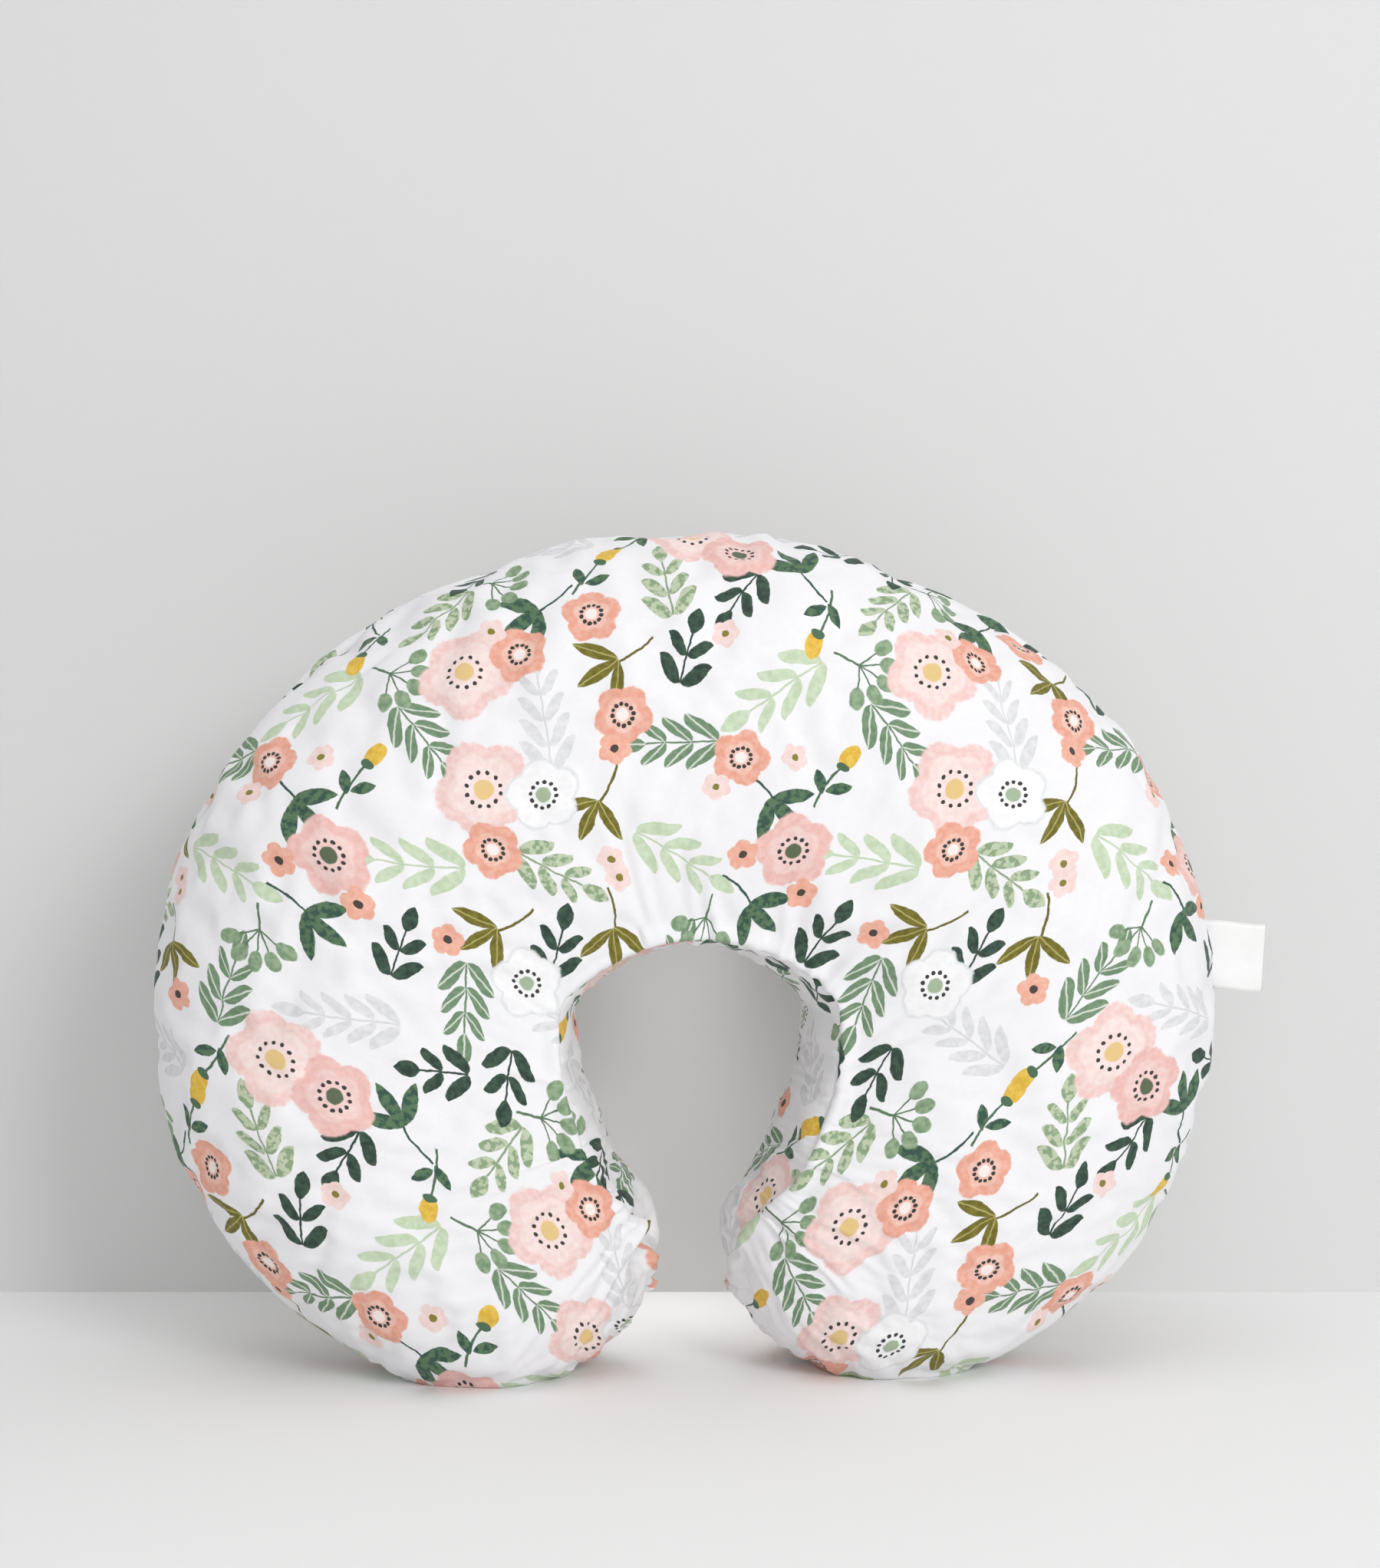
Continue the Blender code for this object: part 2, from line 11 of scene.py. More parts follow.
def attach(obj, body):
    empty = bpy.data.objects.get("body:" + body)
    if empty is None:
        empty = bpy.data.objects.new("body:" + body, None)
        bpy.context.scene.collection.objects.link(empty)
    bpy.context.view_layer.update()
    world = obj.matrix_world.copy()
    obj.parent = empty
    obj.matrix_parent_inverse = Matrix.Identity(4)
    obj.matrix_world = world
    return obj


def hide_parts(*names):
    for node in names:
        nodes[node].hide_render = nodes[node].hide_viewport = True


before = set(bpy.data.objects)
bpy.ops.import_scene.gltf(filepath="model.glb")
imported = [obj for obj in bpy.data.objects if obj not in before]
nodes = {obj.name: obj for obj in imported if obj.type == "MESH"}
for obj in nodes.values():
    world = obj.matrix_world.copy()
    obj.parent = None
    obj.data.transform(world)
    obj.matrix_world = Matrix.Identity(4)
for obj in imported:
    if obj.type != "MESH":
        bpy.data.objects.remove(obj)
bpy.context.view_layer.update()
print("frame loaded:", len(nodes), "nodes")

# Stage, camera and light

stageLook = {
    "yaw": 4.5, "distance": 1.295, "height": 0.288, "lens": 68.0,
    "wallDistance": 0.183, "wallColour": "#e3e3e3", "floorColour": "#fafafa",
    "keyAngle": 28.0, "keyRise": 21.0, "keyDistance": 3.2, "keySize": 1.0, "keyPower": 34.0,
    "fillPower": 1.4, "fillSize": 0.6, "backPower": 0.05, "backSize": 0.08, "backSpread": 75.0,
    "topPower": 14.0, "topSize": 2.0, "worldStrength": 0.43, "worldColour": (1.0, 1.0, 1.0),
}
middle = Vector((-0.015, 0.0, 0.128))      # centre of the arch; the tag shifts it off the origin


def viewDirection():
    turn = math.radians(stageLook["yaw"])
    return Vector((math.sin(turn), math.cos(turn), 0.0))


def tone(text, alpha=1.0):
    # an sRGB colour as linear values
    parts = [int(text[i:i + 2], 16) / 255 for i in (1, 3, 5)]
    linear = [c / 12.92 if c <= 0.04045 else ((c + 0.055) / 1.055) ** 2.4 for c in parts]
    return (*linear, alpha)


# Shader writing

class Wire:
    # a socket that can be used in Python expressions
    def __init__(self, tree, socket):
        self.tree = tree
        self.socket = socket

    def node(self, kind, settings=None, values=None, output=0):
        made = self.tree.nodes.new(kind)
        for name, value in (settings or {}).items():
            setattr(made, name, value)
        for key, value in (values or {}).items():
            target = made.inputs[key]
            if isinstance(value, Wire):
                self.tree.links.new(value.socket, target)
            else:
                target.default_value = value
        return Wire(self.tree, made.outputs[output])

    def math(self, operation, *others):
        values = dict(enumerate((self, *others)))
        if self.socket.type in ("VECTOR", "RGBA"):
            return self.node("ShaderNodeVectorMath", {"operation": operation}, values)
        return self.node("ShaderNodeMath", {"operation": operation}, values)

    def reflected(self, operation, first):
        kind = "ShaderNodeVectorMath" if self.socket.type in ("VECTOR", "RGBA") else "ShaderNodeMath"
        return self.node(kind, {"operation": operation}, {0: first, 1: self})

    def __add__(self, other):
        return self.math("ADD", other)

    def __radd__(self, other):
        return self.reflected("ADD", other)

    def __sub__(self, other):
        return self.math("SUBTRACT", other)

    def __rsub__(self, other):
        return self.reflected("SUBTRACT", other)

    def __mul__(self, other):
        return self.math("MULTIPLY", other)

    def __rmul__(self, other):
        return self.reflected("MULTIPLY", other)

    def __truediv__(self, other):
        return self.math("DIVIDE", other)

    def __rtruediv__(self, other):
        return self.reflected("DIVIDE", other)

    def __pow__(self, other):
        return self.math("POWER", other)

    def __neg__(self):
        return self.math("MULTIPLY", -1.0)

    def __abs__(self):
        return self.math("ABSOLUTE")

    def ramp(self, low, high, start=0.0, end=1.0):
        return self.node("ShaderNodeMapRange", {"interpolation_type": "SMOOTHSTEP", "clamp": False},
                         {0: self, 1: low, 2: high, 3: start, 4: end})

    def parts(self):
        split = self.node("ShaderNodeSeparateXYZ", None, {0: self})
        outputs = split.socket.node.outputs
        return split, Wire(self.tree, outputs[1])

    def over(self, under, factor):
        # this colour laid over another
        return self.node("ShaderNodeMix", {"data_type": "RGBA"}, {0: factor, 6: under, 7: self}, 2)

    def noise(self, scale, detail=2.0, output=0):
        return self.node("ShaderNodeTexNoise", None, {"Vector": self, "Scale": scale, "Detail": detail}, output)


def blend(wire, under, over, factor):
    # a mix where either side may be a plain colour
    return wire.node("ShaderNodeMix", {"data_type": "RGBA"}, {0: factor, 6: under, 7: over}, 2)


def newMaterial(name, roughness, constants=None):
    material = bpy.data.materials.new(name)
    material.use_nodes = True
    shader = material.node_tree.nodes["Principled BSDF"]
    shader.inputs["Roughness"].default_value = roughness
    for key, value in (constants or {}).items():
        shader.inputs[key].default_value = value
    return material, shader, Wire(material.node_tree, shader.outputs[0])


def feed(shader, name, wire):
    wire.tree.links.new(wire.socket, shader.inputs[name])


def feedBump(shader, height, strength, distance):
    bumped = height.node("ShaderNodeBump", None, {"Height": height, "Strength": strength, "Distance": distance})
    feed(shader, "Normal", bumped)


# Print: motifs drawn in millimetres, x to the right and y up

def turned(x, y, originX, originY, turn, size=1.0):
    # x and y as seen from an origin that is turned and scaled; floats only, which keeps the shader small
    c, s = math.cos(math.radians(turn)) / size, math.sin(math.radians(turn)) / size
    along = y.math("MULTIPLY_ADD", s, x.math("MULTIPLY_ADD", c, -originX * c - originY * s))
    across = y.math("MULTIPLY_ADD", c, x.math("MULTIPLY_ADD", -s, originX * s - originY * c))
    return along, across


class Brush:
    def __init__(self, x, y, under, shade):
        self.x = x
        self.y = y
        self.colour = under
        self.shade = shade

    def place(self, x, y, turn=0.0):
        return turned(self.x, self.y, x, y, turn)

    def paint(self, mask, colour):
        if isinstance(colour, Wire):
            self.colour = colour.over(self.colour, mask)
        else:
            self.colour = blend(self.colour, self.colour, colour, mask)

    def mottled(self, light, dark, low=0.35, high=0.65):
        return blend(self.shade, tone(dark), tone(light), self.shade.ramp(low, high))

    def leafFrom(self, along, across, length, width, look):
        share = along / length
        rise = (share * (1.0 - share)).math("MAXIMUM", 0.0)
        half = rise ** 0.86 * (width * 1.65)
        edge = half - abs(across)
        body = self.mottled(look["light"], look["dark"], *look.get("patches", (0.35, 0.65)))
        if "half" in look:
            body = blend(across, body, tone(look["half"]), (across + self.shade * 3.0 - 1.5).ramp(-0.4, 0.4))
        if "vein" in look:
            vein = abs(across).ramp(look.get("veinWidth", 0.7), 0.15)
            body = blend(across, body, tone(look["vein"]), vein * look.get("veinDepth", 0.85))
        if "outline" in look:
            body = blend(edge, tone(look["outline"]), body, edge.ramp(0.35, 1.5))
        self.paint(edge.ramp(0.0, 0.45), body)

    def leaf(self, x, y, turn, length, width, look):
        px, py = self.place(x, y, turn)
        self.leafFrom(px, py, length, width, look)

    def stem(self, x, y, turn, length, width, colour, bend=0.0):
        px, py = self.place(x, y, turn)
        share = px / length
        if bend:
            py = py - share * (1.0 - share) * (4.0 * bend)
        inside = abs(share - 0.5).ramp(0.51, 0.49)
        self.paint(abs(py).ramp(width / 2 + 0.2, width / 2 - 0.2) * inside, tone(colour))

    def oval(self, x, y, turn, across, up, light, dark=None, soft=0.12):
        px, py = self.place(x, y, turn)
        r = ((px / (across / 2)) ** 2.0 + (py / (up / 2)) ** 2.0)
        body = self.mottled(light, dark) if dark else tone(light)
        self.paint(r.ramp(1.0 + soft, 1.0 - soft), body)

    def polar(self, x, y, turn=0.0, squash=1.0):
        px, py = self.place(x, y, turn)
        if squash != 1.0:
            py = py / squash
        radius = (px * px + py * py).math("SQRT")
        return radius, py.math("ARCTAN2", px)

    def lobes(self, angle, count, depth):
        return 1.0 - depth + abs((angle * (count / 2)).math("SINE")) * depth

    def petals(self, x, y, size, count, depth, rings, squash=1.0, turn=0.0):
        # rings are (share of the radius, colour, darker colour), outermost first
        radius, angle = self.polar(x, y, turn, squash)
        reach = self.lobes(angle, count, depth) * size
        share = radius / reach + (self.shade - 0.5) * 0.16
        for at, light, dark in rings:
            body = self.mottled(light, dark) if dark else tone(light)
            self.paint(share.ramp(at + 0.045, at - 0.045), body)
        return radius, angle

    def fan(self, x, y, turn, count, spread):
        # turns the plane round a point so that one arm stands for count of them
        px, py = self.place(x, y, turn)
        step = math.radians(spread / max(count - 1, 1))
        angle = py.math("ARCTAN2", px)
        shift = 0.0 if count % 2 else 0.5
        index = (angle / step + shift).math("ROUND") - shift
        limit = (count - 1) / 2
        index = index.math("MAXIMUM", -limit).math("MINIMUM", limit)
        rest = angle - index * step
        radius = (px * px + py * py).math("SQRT")
        return radius * rest.math("COSINE"), radius * rest.math("SINE")

    def umbel(self, x, y, turn, count, spread, length, bud, stemColour, light, dark):
        along, across = self.fan(x, y, turn, count, spread)
        line = abs(across).ramp(0.6, 0.2) * along.ramp(length, length - 1.0) * along.ramp(0.0, 0.8)
        self.paint(line, tone(stemColour))
        r = ((along - length) / (bud * 0.62)) ** 2.0 + (across / (bud * 0.45)) ** 2.0
        self.paint(r.ramp(1.15, 0.85), self.mottled(light, dark))

    def frond(self, x, y, turn, length, pairs, leafLength, leafWidth, lean, look, stem=0.9, alternate=False):
        px, py = self.place(x, y, turn)
        lean = math.radians(lean)
        step = length / pairs
        side = abs(py)
        shifted = px - side / math.tan(lean)
        if alternate:
            shifted = shifted + py.math("SIGN") * (step / 4)
        index = (shifted / step).math("ROUND").math("MAXIMUM", 0.0).math("MINIMUM", pairs - 1.0)
        line = side.ramp(stem / 2 + 0.25, stem / 2 - 0.2) * px.ramp(-1.0, 0.5) * px.ramp(length, length - 2.0)
        self.paint(line, tone(look["dark"]))
        across = (shifted - index * step) * math.sin(lean)
        taper = 1.0 - (index / pairs) * 0.35
        self.leafFrom(side / math.sin(lean) / taper, across / taper, leafLength, leafWidth, look)


leafSage = {"light": "#c3cfb2", "dark": "#8fa783", "patches": (0.44, 0.54)}
leafGreen = {"light": "#7d987a", "dark": "#6d8b6c", "vein": "#e6ebe0", "veinWidth": 0.7}
leafDeep = {"light": "#5b7a59", "dark": "#35564a", "patches": (0.42, 0.56)}
leafInk = {"light": "#3f5a49", "dark": "#2b3f38"}
leafOlive = {"light": "#80792c", "dark": "#6b641f", "vein": "#b9b36e", "veinWidth": 0.5}
leafMint = {"light": "#d3e1c6", "dark": "#c4d6b6"}
leafGrey = {"light": "#e9e9eb", "dark": "#dcdde0"}


def drawBloom(b, size, rings, heart):
    # an open flower with five round petals, a plain heart and a ring of dots
    radius, _ = b.petals(0, 0, size, 5, 0.20, rings)
    b.paint(radius.ramp(size * 0.22, size * 0.18), tone(heart))
    along, across = b.fan(0, 0, 0, 12, 330)
    b.paint(((along - size * 0.34) ** 2.0 + across ** 2.0).ramp(1.3, 0.7), tone("#3a3a38"))


def drawBlossom(b, size, light, dark, heart):
    b.petals(0, 0, size, 5, 0.22, [(1.0, light, dark)])
    b.oval(0, 0, 0, size * 0.5, size * 0.5, heart)


def drawSprig(b, length, pairs, leafLength, leafWidth, lean, look):
    # a straight stem with leaves in pairs and one at the tip
    b.frond(-length / 2, 0, 0, length, pairs, leafLength, leafWidth, lean, look)
    b.leaf(length / 2 - 3, 0, 0, leafLength * 0.8, leafWidth, look)


def drawTrio(b, leafLength, leafWidth, look):
    b.stem(-20, 0, 0, 26, 1.2, look["dark"], 2.0)
    for turn in (52, -52, 0):
        b.leaf(0, 0, turn, leafLength, leafWidth, look)


def drawBerries(b, light, dark):
    b.stem(-18, 0, 0, 14, 1.2, "#5d7a5c")
    b.umbel(-5, 0, 0, 5, 130, 15, 8, "#5d7a5c", light, dark)


def drawBud(b):
    b.stem(-17, 0, 0, 26, 1.2, "#4f6f55", 1.5)
    b.leaf(-9, 0, 46, 13, 6, leafDeep)
    b.leaf(-7, 0, -46, 13, 6, leafDeep)
    b.oval(13, 0, 0, 13, 9, "#eec95a", "#e2b53c")
    b.oval(7.5, 0, 0, 4, 7, "#4f6f55")


blushRings = [(1.0, "#f7dbd7", "#f2cbc6"), (0.72, "#fae8e5", "#f7ddd9")]
roseRings = [(1.0, "#f4cbc5", "#eebcb5"), (0.66, "#f7d9d4", "#f2ccc6")]
coralRings = [(1.0, "#f2b8a5", "#eba58f"), (0.60, "#f6cdbf", "#f2bdac")]
whiteRings = [(1.0, "#e1e3e6", "#e8eaec"), (0.92, "#fbfbfc", "#f6f6f8")]

# motif, bottom layer first: how it is drawn, how far it reaches, how many there are in one repeat
printMotifs = {
    "grey": (lambda b: drawSprig(b, 46, 4, 20, 7, 42, leafGrey), 36, 3),
    "mint": (lambda b: drawSprig(b, 44, 3, 22, 8, 40, leafMint), 36, 3),
    "sage": (lambda b: drawSprig(b, 34, 3, 18, 8, 48, leafSage), 30, 3),
    "green": (lambda b: drawSprig(b, 36, 3, 20, 8, 44, leafGreen), 30, 4),
    "ink": (lambda b: drawSprig(b, 26, 2, 17, 8, 50, leafInk), 24, 6),
    "deepTrio": (lambda b: drawTrio(b, 22, 8, leafDeep), 26, 4),
    "oliveTrio": (lambda b: drawTrio(b, 23, 7, leafOlive), 26, 4),
    "berries": (lambda b: drawBerries(b, "#9cb392", "#7b9776"), 20, 3),
    "bud": (lambda b: drawBud(b), 22, 4),
    "blush": (lambda b: drawBloom(b, 23, blushRings, "#e9c98a"), 25, 3),
    "rose": (lambda b: drawBloom(b, 19, roseRings, "#5d6a50"), 21, 2),
    "white": (lambda b: drawBloom(b, 18, whiteRings, "#a9bb9e"), 20, 2),
    "coral": (lambda b: drawBloom(b, 14, coralRings, "#fdf1ed"), 16, 5),
    "smallCoral": (lambda b: drawBlossom(b, 8, "#f4bda9", "#efad96", "#4a423d"), 10, 5),
    "smallPale": (lambda b: drawBlossom(b, 7, "#f8e2de", "#f5d7d2", "#8a8236"), 9, 6),
}
repeatSize = (220.0, 260.0)
scatterLook = {"seed": 21, "tries": 500, "spare": 0.9}


def wrapped(value, size):
    return (value + size / 2) % size - size / 2


def scatterMotifs():
    # spreads the motifs over one repeat, the widest first, each where it has the most room
    chance = random.Random(scatterLook["seed"])
    width, height = repeatSize
    placed = []

    def room(spot):
        gaps = [math.hypot(wrapped(spot[0] - x, width), wrapped(spot[1] - y, height)) - reach * scatterLook["spare"]
                for _, x, y, _, reach in placed]
        return min(gaps, default=0.0)

    for name, (_, reach, count) in sorted(printMotifs.items(), key=lambda item: -item[1][1]):
        for _ in range(count):
            tries = [(chance.uniform(0, width), chance.uniform(0, height)) for _ in range(scatterLook["tries"])]
            placed.append((name, *max(tries, key=room), chance.uniform(0, 360), reach))
    order = list(printMotifs)
    return sorted(placed, key=lambda motif: order.index(motif[0]))


printPlaces = scatterMotifs()


def motifGroup(name, draw):
    tree = bpy.data.node_groups.new(name, "ShaderNodeTree")
    for label, kind, way in (("X", "NodeSocketFloat", "INPUT"), ("Y", "NodeSocketFloat", "INPUT"),
                             ("Under", "NodeSocketColor", "INPUT"), ("Shade", "NodeSocketFloat", "INPUT"),
                             ("Colour", "NodeSocketColor", "OUTPUT")):
        tree.interface.new_socket(label, in_out=way, socket_type=kind)
    entry = tree.nodes.new("NodeGroupInput")
    leave = tree.nodes.new("NodeGroupOutput")
    brush = Brush(*(Wire(tree, entry.outputs[i]) for i in range(4)))
    draw(brush)
    tree.links.new(brush.colour.socket, leave.inputs[0])
    return tree


motifGroups = {name: motifGroup(name, draw) for name, (draw, _, _) in printMotifs.items()}
print("motifs:", len(motifGroups), "groups,", sum(len(g.nodes) for g in motifGroups.values()), "nodes")

clothLook = {
    "cells": (4, 4), "ground": "#f8f8f9", "groundShade": "#f2f1f5", "roughness": 0.86, "sheen": 0.12,
    "thread": 0.00052, "weave": 0.10, "wobble": 1.5, "wash": 70.0,
}


def clothBump(shader, uv):
    thread = 2 * math.pi / clothLook["thread"]
    x, y = uv.parts()
    weave = (x * thread).math("SINE") + (y * thread).math("SINE")
    slub = uv.noise(900.0, 1.0)
    feedBump(shader, weave * 0.25 + slub * 1.2, clothLook["weave"], 0.0004)


def printMaterial(cellX, cellY):
    width, height = repeatSize
    cellsX, cellsY = clothLook["cells"]
    centre = ((cellX + 0.5) * width / cellsX, (cellY + 0.5) * height / cellsY)
    reach = math.hypot(width / cellsX / 2, height / cellsY / 2)
    material, shader, start = newMaterial("printedCotton%d%d" % (cellX, cellY), clothLook["roughness"],
                                          {"Sheen Weight": clothLook["sheen"], "Sheen Roughness": 0.4})
    uv = start.node("ShaderNodeUVMap", {"uv_map": "Print"})
    flat = uv * (1000.0, 1000.0, 0.0)
    sway = clothLook["wobble"]
    wobble = (flat.noise(0.22, 2.0, 1) - (0.5, 0.5, 0.5)) * (sway, sway, 0.0)
    shade = flat.noise(0.30, 3.0)
    x, y = (flat + wobble - (centre[0], centre[1], 0.0)).parts()
    # the share of the shade makes Cycles work out the motifs one after another, within its stack
    x = x - (x / width + 0.5).math("FLOOR") * width + shade * 0.00001
    y = y - (y / height + 0.5).math("FLOOR") * height + shade * 0.00001
    colour = blend(shade, tone(clothLook["ground"]), tone(clothLook["groundShade"]), shade)
    used = 0
    for name, atX, atY, turn, motifReach in printPlaces:
        dx, dy = wrapped(atX - centre[0], width), wrapped(atY - centre[1], height)
        if math.hypot(dx, dy) > reach + motifReach + 2.0:
            continue
        along, across = turned(x, y, dx, dy, turn)
        colour = x.node("ShaderNodeGroup", {"node_tree": motifGroups[name]},
                        {0: along, 1: across, 2: colour, 3: shade})
        used += 1
    feed(shader, "Base Color", colour)
    clothBump(shader, uv)
    return material, used


printMaterials = []
for cellY in range(clothLook["cells"][1]):
    for cellX in range(clothLook["cells"][0]):
        material, used = printMaterial(cellX, cellY)
        printMaterials.append(material)
print("print:", len(printMaterials), "materials")

# Cover: the outline rule of the pattern pieces

stations = [    # angle from straight up, outer seam radius, inner seam radius
    (48.0, 0.284, 0.085), (62.0, 0.279, 0.0745), (75.0, 0.2685, 0.0665), (90.0, 0.2555, 0.0590),
    (105.0, 0.2355, 0.0560), (120.0, 0.209, 0.0550), (135.0, 0.187, 0.0545), (146.0, 0.167, 0.0560),
    (155.0, 0.141, 0.0600), (161.0, 0.118, 0.0690), (165.0, 0.099, 0.0800), (166.5, 0.0905, 0.0875),
]
gussetStations = [      # angle, half width, bulge into the opening
    (0.0, 0.058, 0.004), (50.0, 0.058, 0.009), (90.0, 0.058, 0.012), (120.0, 0.054, 0.011),
    (146.0, 0.040, 0.009), (155.0, 0.031, 0.008), (161.0, 0.021, 0.006), (165.0, 0.009, 0.002),
    (166.5, 0.002, 0.0),
]
coverShape = {
    "halfDepth": 0.080, "crownInset": 0.097, "fullSection": 0.190, "innerArc": 65.0, "endAngle": 166.5,
    "columns": 440, "rows": 92, "gussetRows": 44, "outerShare": 0.58,
    "seamTuck": 0.0030, "allowance": 0.0040,
    "puckerDepth": 0.0027, "puckerLength": 0.017, "puckerReach": 0.030,
    "softDepth": 0.0036, "softLength": 0.085,
    "fanDepth": 0.0046, "ridge": 0.0024, "ridgeWidth": 0.0040,
}
zipShape = {
    "angle": 36.0, "row": 34.0, "halfRow": 2.35, "stopAngle": 35.0, "parkAngle": 32.5,
}


def smoothTable(table, angle, column):
    if angle <= table[0][0]:
        return table[0][column]
    if angle >= table[-1][0]:
        return table[-1][column]
    last = len(table) - 1
    index = max(i for i in range(last) if table[i][0] <= angle)

    def slope(i):
        lower, upper = max(i - 1, 0), min(i + 1, last)
        return (table[upper][column] - table[lower][column]) / (table[upper][0] - table[lower][0])

    span = table[index + 1][0] - table[index][0]
    t = (angle - table[index][0]) / span
    startSlope = slope(index) * span if index else 0.0
    endSlope = slope(index + 1) * span
    return ((2 * t ** 3 - 3 * t ** 2 + 1) * table[index][column] + (t ** 3 - 2 * t ** 2 + t) * startSlope
            + (3 * t ** 2 - 2 * t ** 3) * table[index + 1][column] + (t ** 3 - t ** 2) * endSlope)


def sectionAt(angle):
    side = abs(angle)
    outer = smoothTable(stations, side, 1)
    section = outer - smoothTable(stations, side, 2)
    depth = coverShape["halfDepth"] * math.sin(math.pi / 2 * min(1.0, section / coverShape["fullSection"]))
    return outer, section, depth


def rowAngle(share):
    # a row share as its profile angle, and whether it is on the inner side of the crown
    outerShare = coverShape["outerShare"]
    if share <= outerShare:
        return 90.0 * share / outerShare, False
    return coverShape["innerArc"] * (share - outerShare) / (1 - outerShare), True


def panelProfile(angle, share):
    # distance from the arch centre, height over the middle plane, and flat distance from the arch centre
    outer, section, depth = sectionAt(angle)
    crown = min(coverShape["crownInset"], section / 2)
    turn, inner = rowAngle(share)
    turn = math.radians(turn)
    if not inner:
        inset = crown * (1 - math.cos(turn))
        rise = depth * math.sin(turn)
        arc = 0.0
        steps = 8
        for k in range(steps):
            mid = math.pi / 2 - (math.pi / 2 - turn) * (k + 0.5) / steps
            arc += math.hypot(crown * math.sin(mid), depth * math.cos(mid)) * (math.pi / 2 - turn) / steps
        return outer - inset, rise, outer - crown + arc * 0.94
    half = min(smoothTable(gussetStations, abs(angle), 1), depth * 0.97)
    last = math.radians(coverShape["innerArc"])
    inset = crown + (section - crown) * math.sin(turn) / math.sin(last)
    rise = half + (depth - half) * (math.cos(turn) - math.cos(last)) / (1 - math.cos(last))
    return outer - inset, rise, outer - crown - (inset - crown) * 1.06


def printPlace(angle, flatRadius):
    # where a point lies on the printed cloth before it was cut, in metres
    turn = math.radians(angle)
    x = flatRadius * math.sin(turn)
    z = middle.z + flatRadius * math.cos(turn)
    x += math.tanh(x / 0.040) * 0.23 * max(0.0, 0.270 - z)
    return x, z


def seamPoint(angle, column):
    radius = smoothTable(stations, abs(angle), column)
    turn = math.radians(angle)
    return Vector((math.sin(turn) * radius, 0.0, math.cos(turn) * radius))


def seamNormal(angle, column):
    # in the middle plane, away from the filling
    low = max(min(angle, coverShape["endAngle"] - 0.3), -coverShape["endAngle"] + 0.3)
    along = seamPoint(low + 0.3, column) - seamPoint(low - 0.3, column)
    normal = Vector((-along.z, 0.0, along.x)).normalized()
    outward = seamPoint(low, column)
    if normal.dot(outward) * (1 if column == 1 else -1) < 0:
        normal = -normal
    return normal


def gussetPoint(angle, share):
    _, _, depth = sectionAt(angle)
    half = min(smoothTable(gussetStations, abs(angle), 1), depth * 0.97)
    bulge = smoothTable(gussetStations, abs(angle), 2) * math.cos(math.pi / 2 * share)
    point = seamPoint(angle, 2) + seamNormal(angle, 2) * bulge + Vector((middle.x, 0.0, middle.z))
    point.y = half * share
    return point


def columnAngles(count):
    # even steps along the arch, closer together towards the tips
    end = coverShape["endAngle"]
    angles = []
    for i in range(count + 1):
        t = 2 * i / count - 1
        eased = 1.22 * abs(t) - 0.22 * abs(t) ** 3
        angles.append(math.copysign(end * min(eased, 1.0), t))
    return angles


def rowShares(count):
    # rows from the outer seam to the inner one, with lines on both sides of the zip's slit
    low = (zipShape["row"] - zipShape["halfRow"]) / 90.0 * coverShape["outerShare"]
    high = (zipShape["row"] + zipShape["halfRow"]) / 90.0 * coverShape["outerShare"]
    first = round(count * low)
    slit = max(2, round(count * (high - low)))
    rest = count - first - slit
    shares = [low * i / first for i in range(first)]
    shares += [low + (high - low) * i / slit for i in range(slit)]
    shares += [high + (1 - high) * i / rest for i in range(rest + 1)]
    return shares, first, slit


def softNoise(x, y, z):
    return noise.noise(Vector((x, y, z)))


def step(value, low, high):
    t = min(max((value - low) / (high - low), 0.0), 1.0)
    return t * t * (3 - 2 * t)


def zipCalm(angle, share, back):
    # 0 on the zip and under the slider, 1 away from it
    if not back:
        return 1.0
    turn, inner = rowAngle(share)
    if inner:
        return 1.0
    across = abs(turn - zipShape["row"])
    along = abs(angle) - zipShape["angle"]
    return max(step(across, 6.0, 15.0), step(along, 1.5, 7.0))


def tipTuck(angle, share):
    # the gathered pocket on the inner side of the left leg tip
    across = (angle + 157.5) / 2.7
    reach = step(share, 0.70, 0.94)
    groove = math.exp(-across * across) * 0.0125
    lip = math.exp(-((angle + 150.5) / 3.4) ** 2) * 0.0058
    fold = math.exp(-((angle + 162.5) / 2.0) ** 2) * 0.0034
    return (lip + fold - groove) * reach


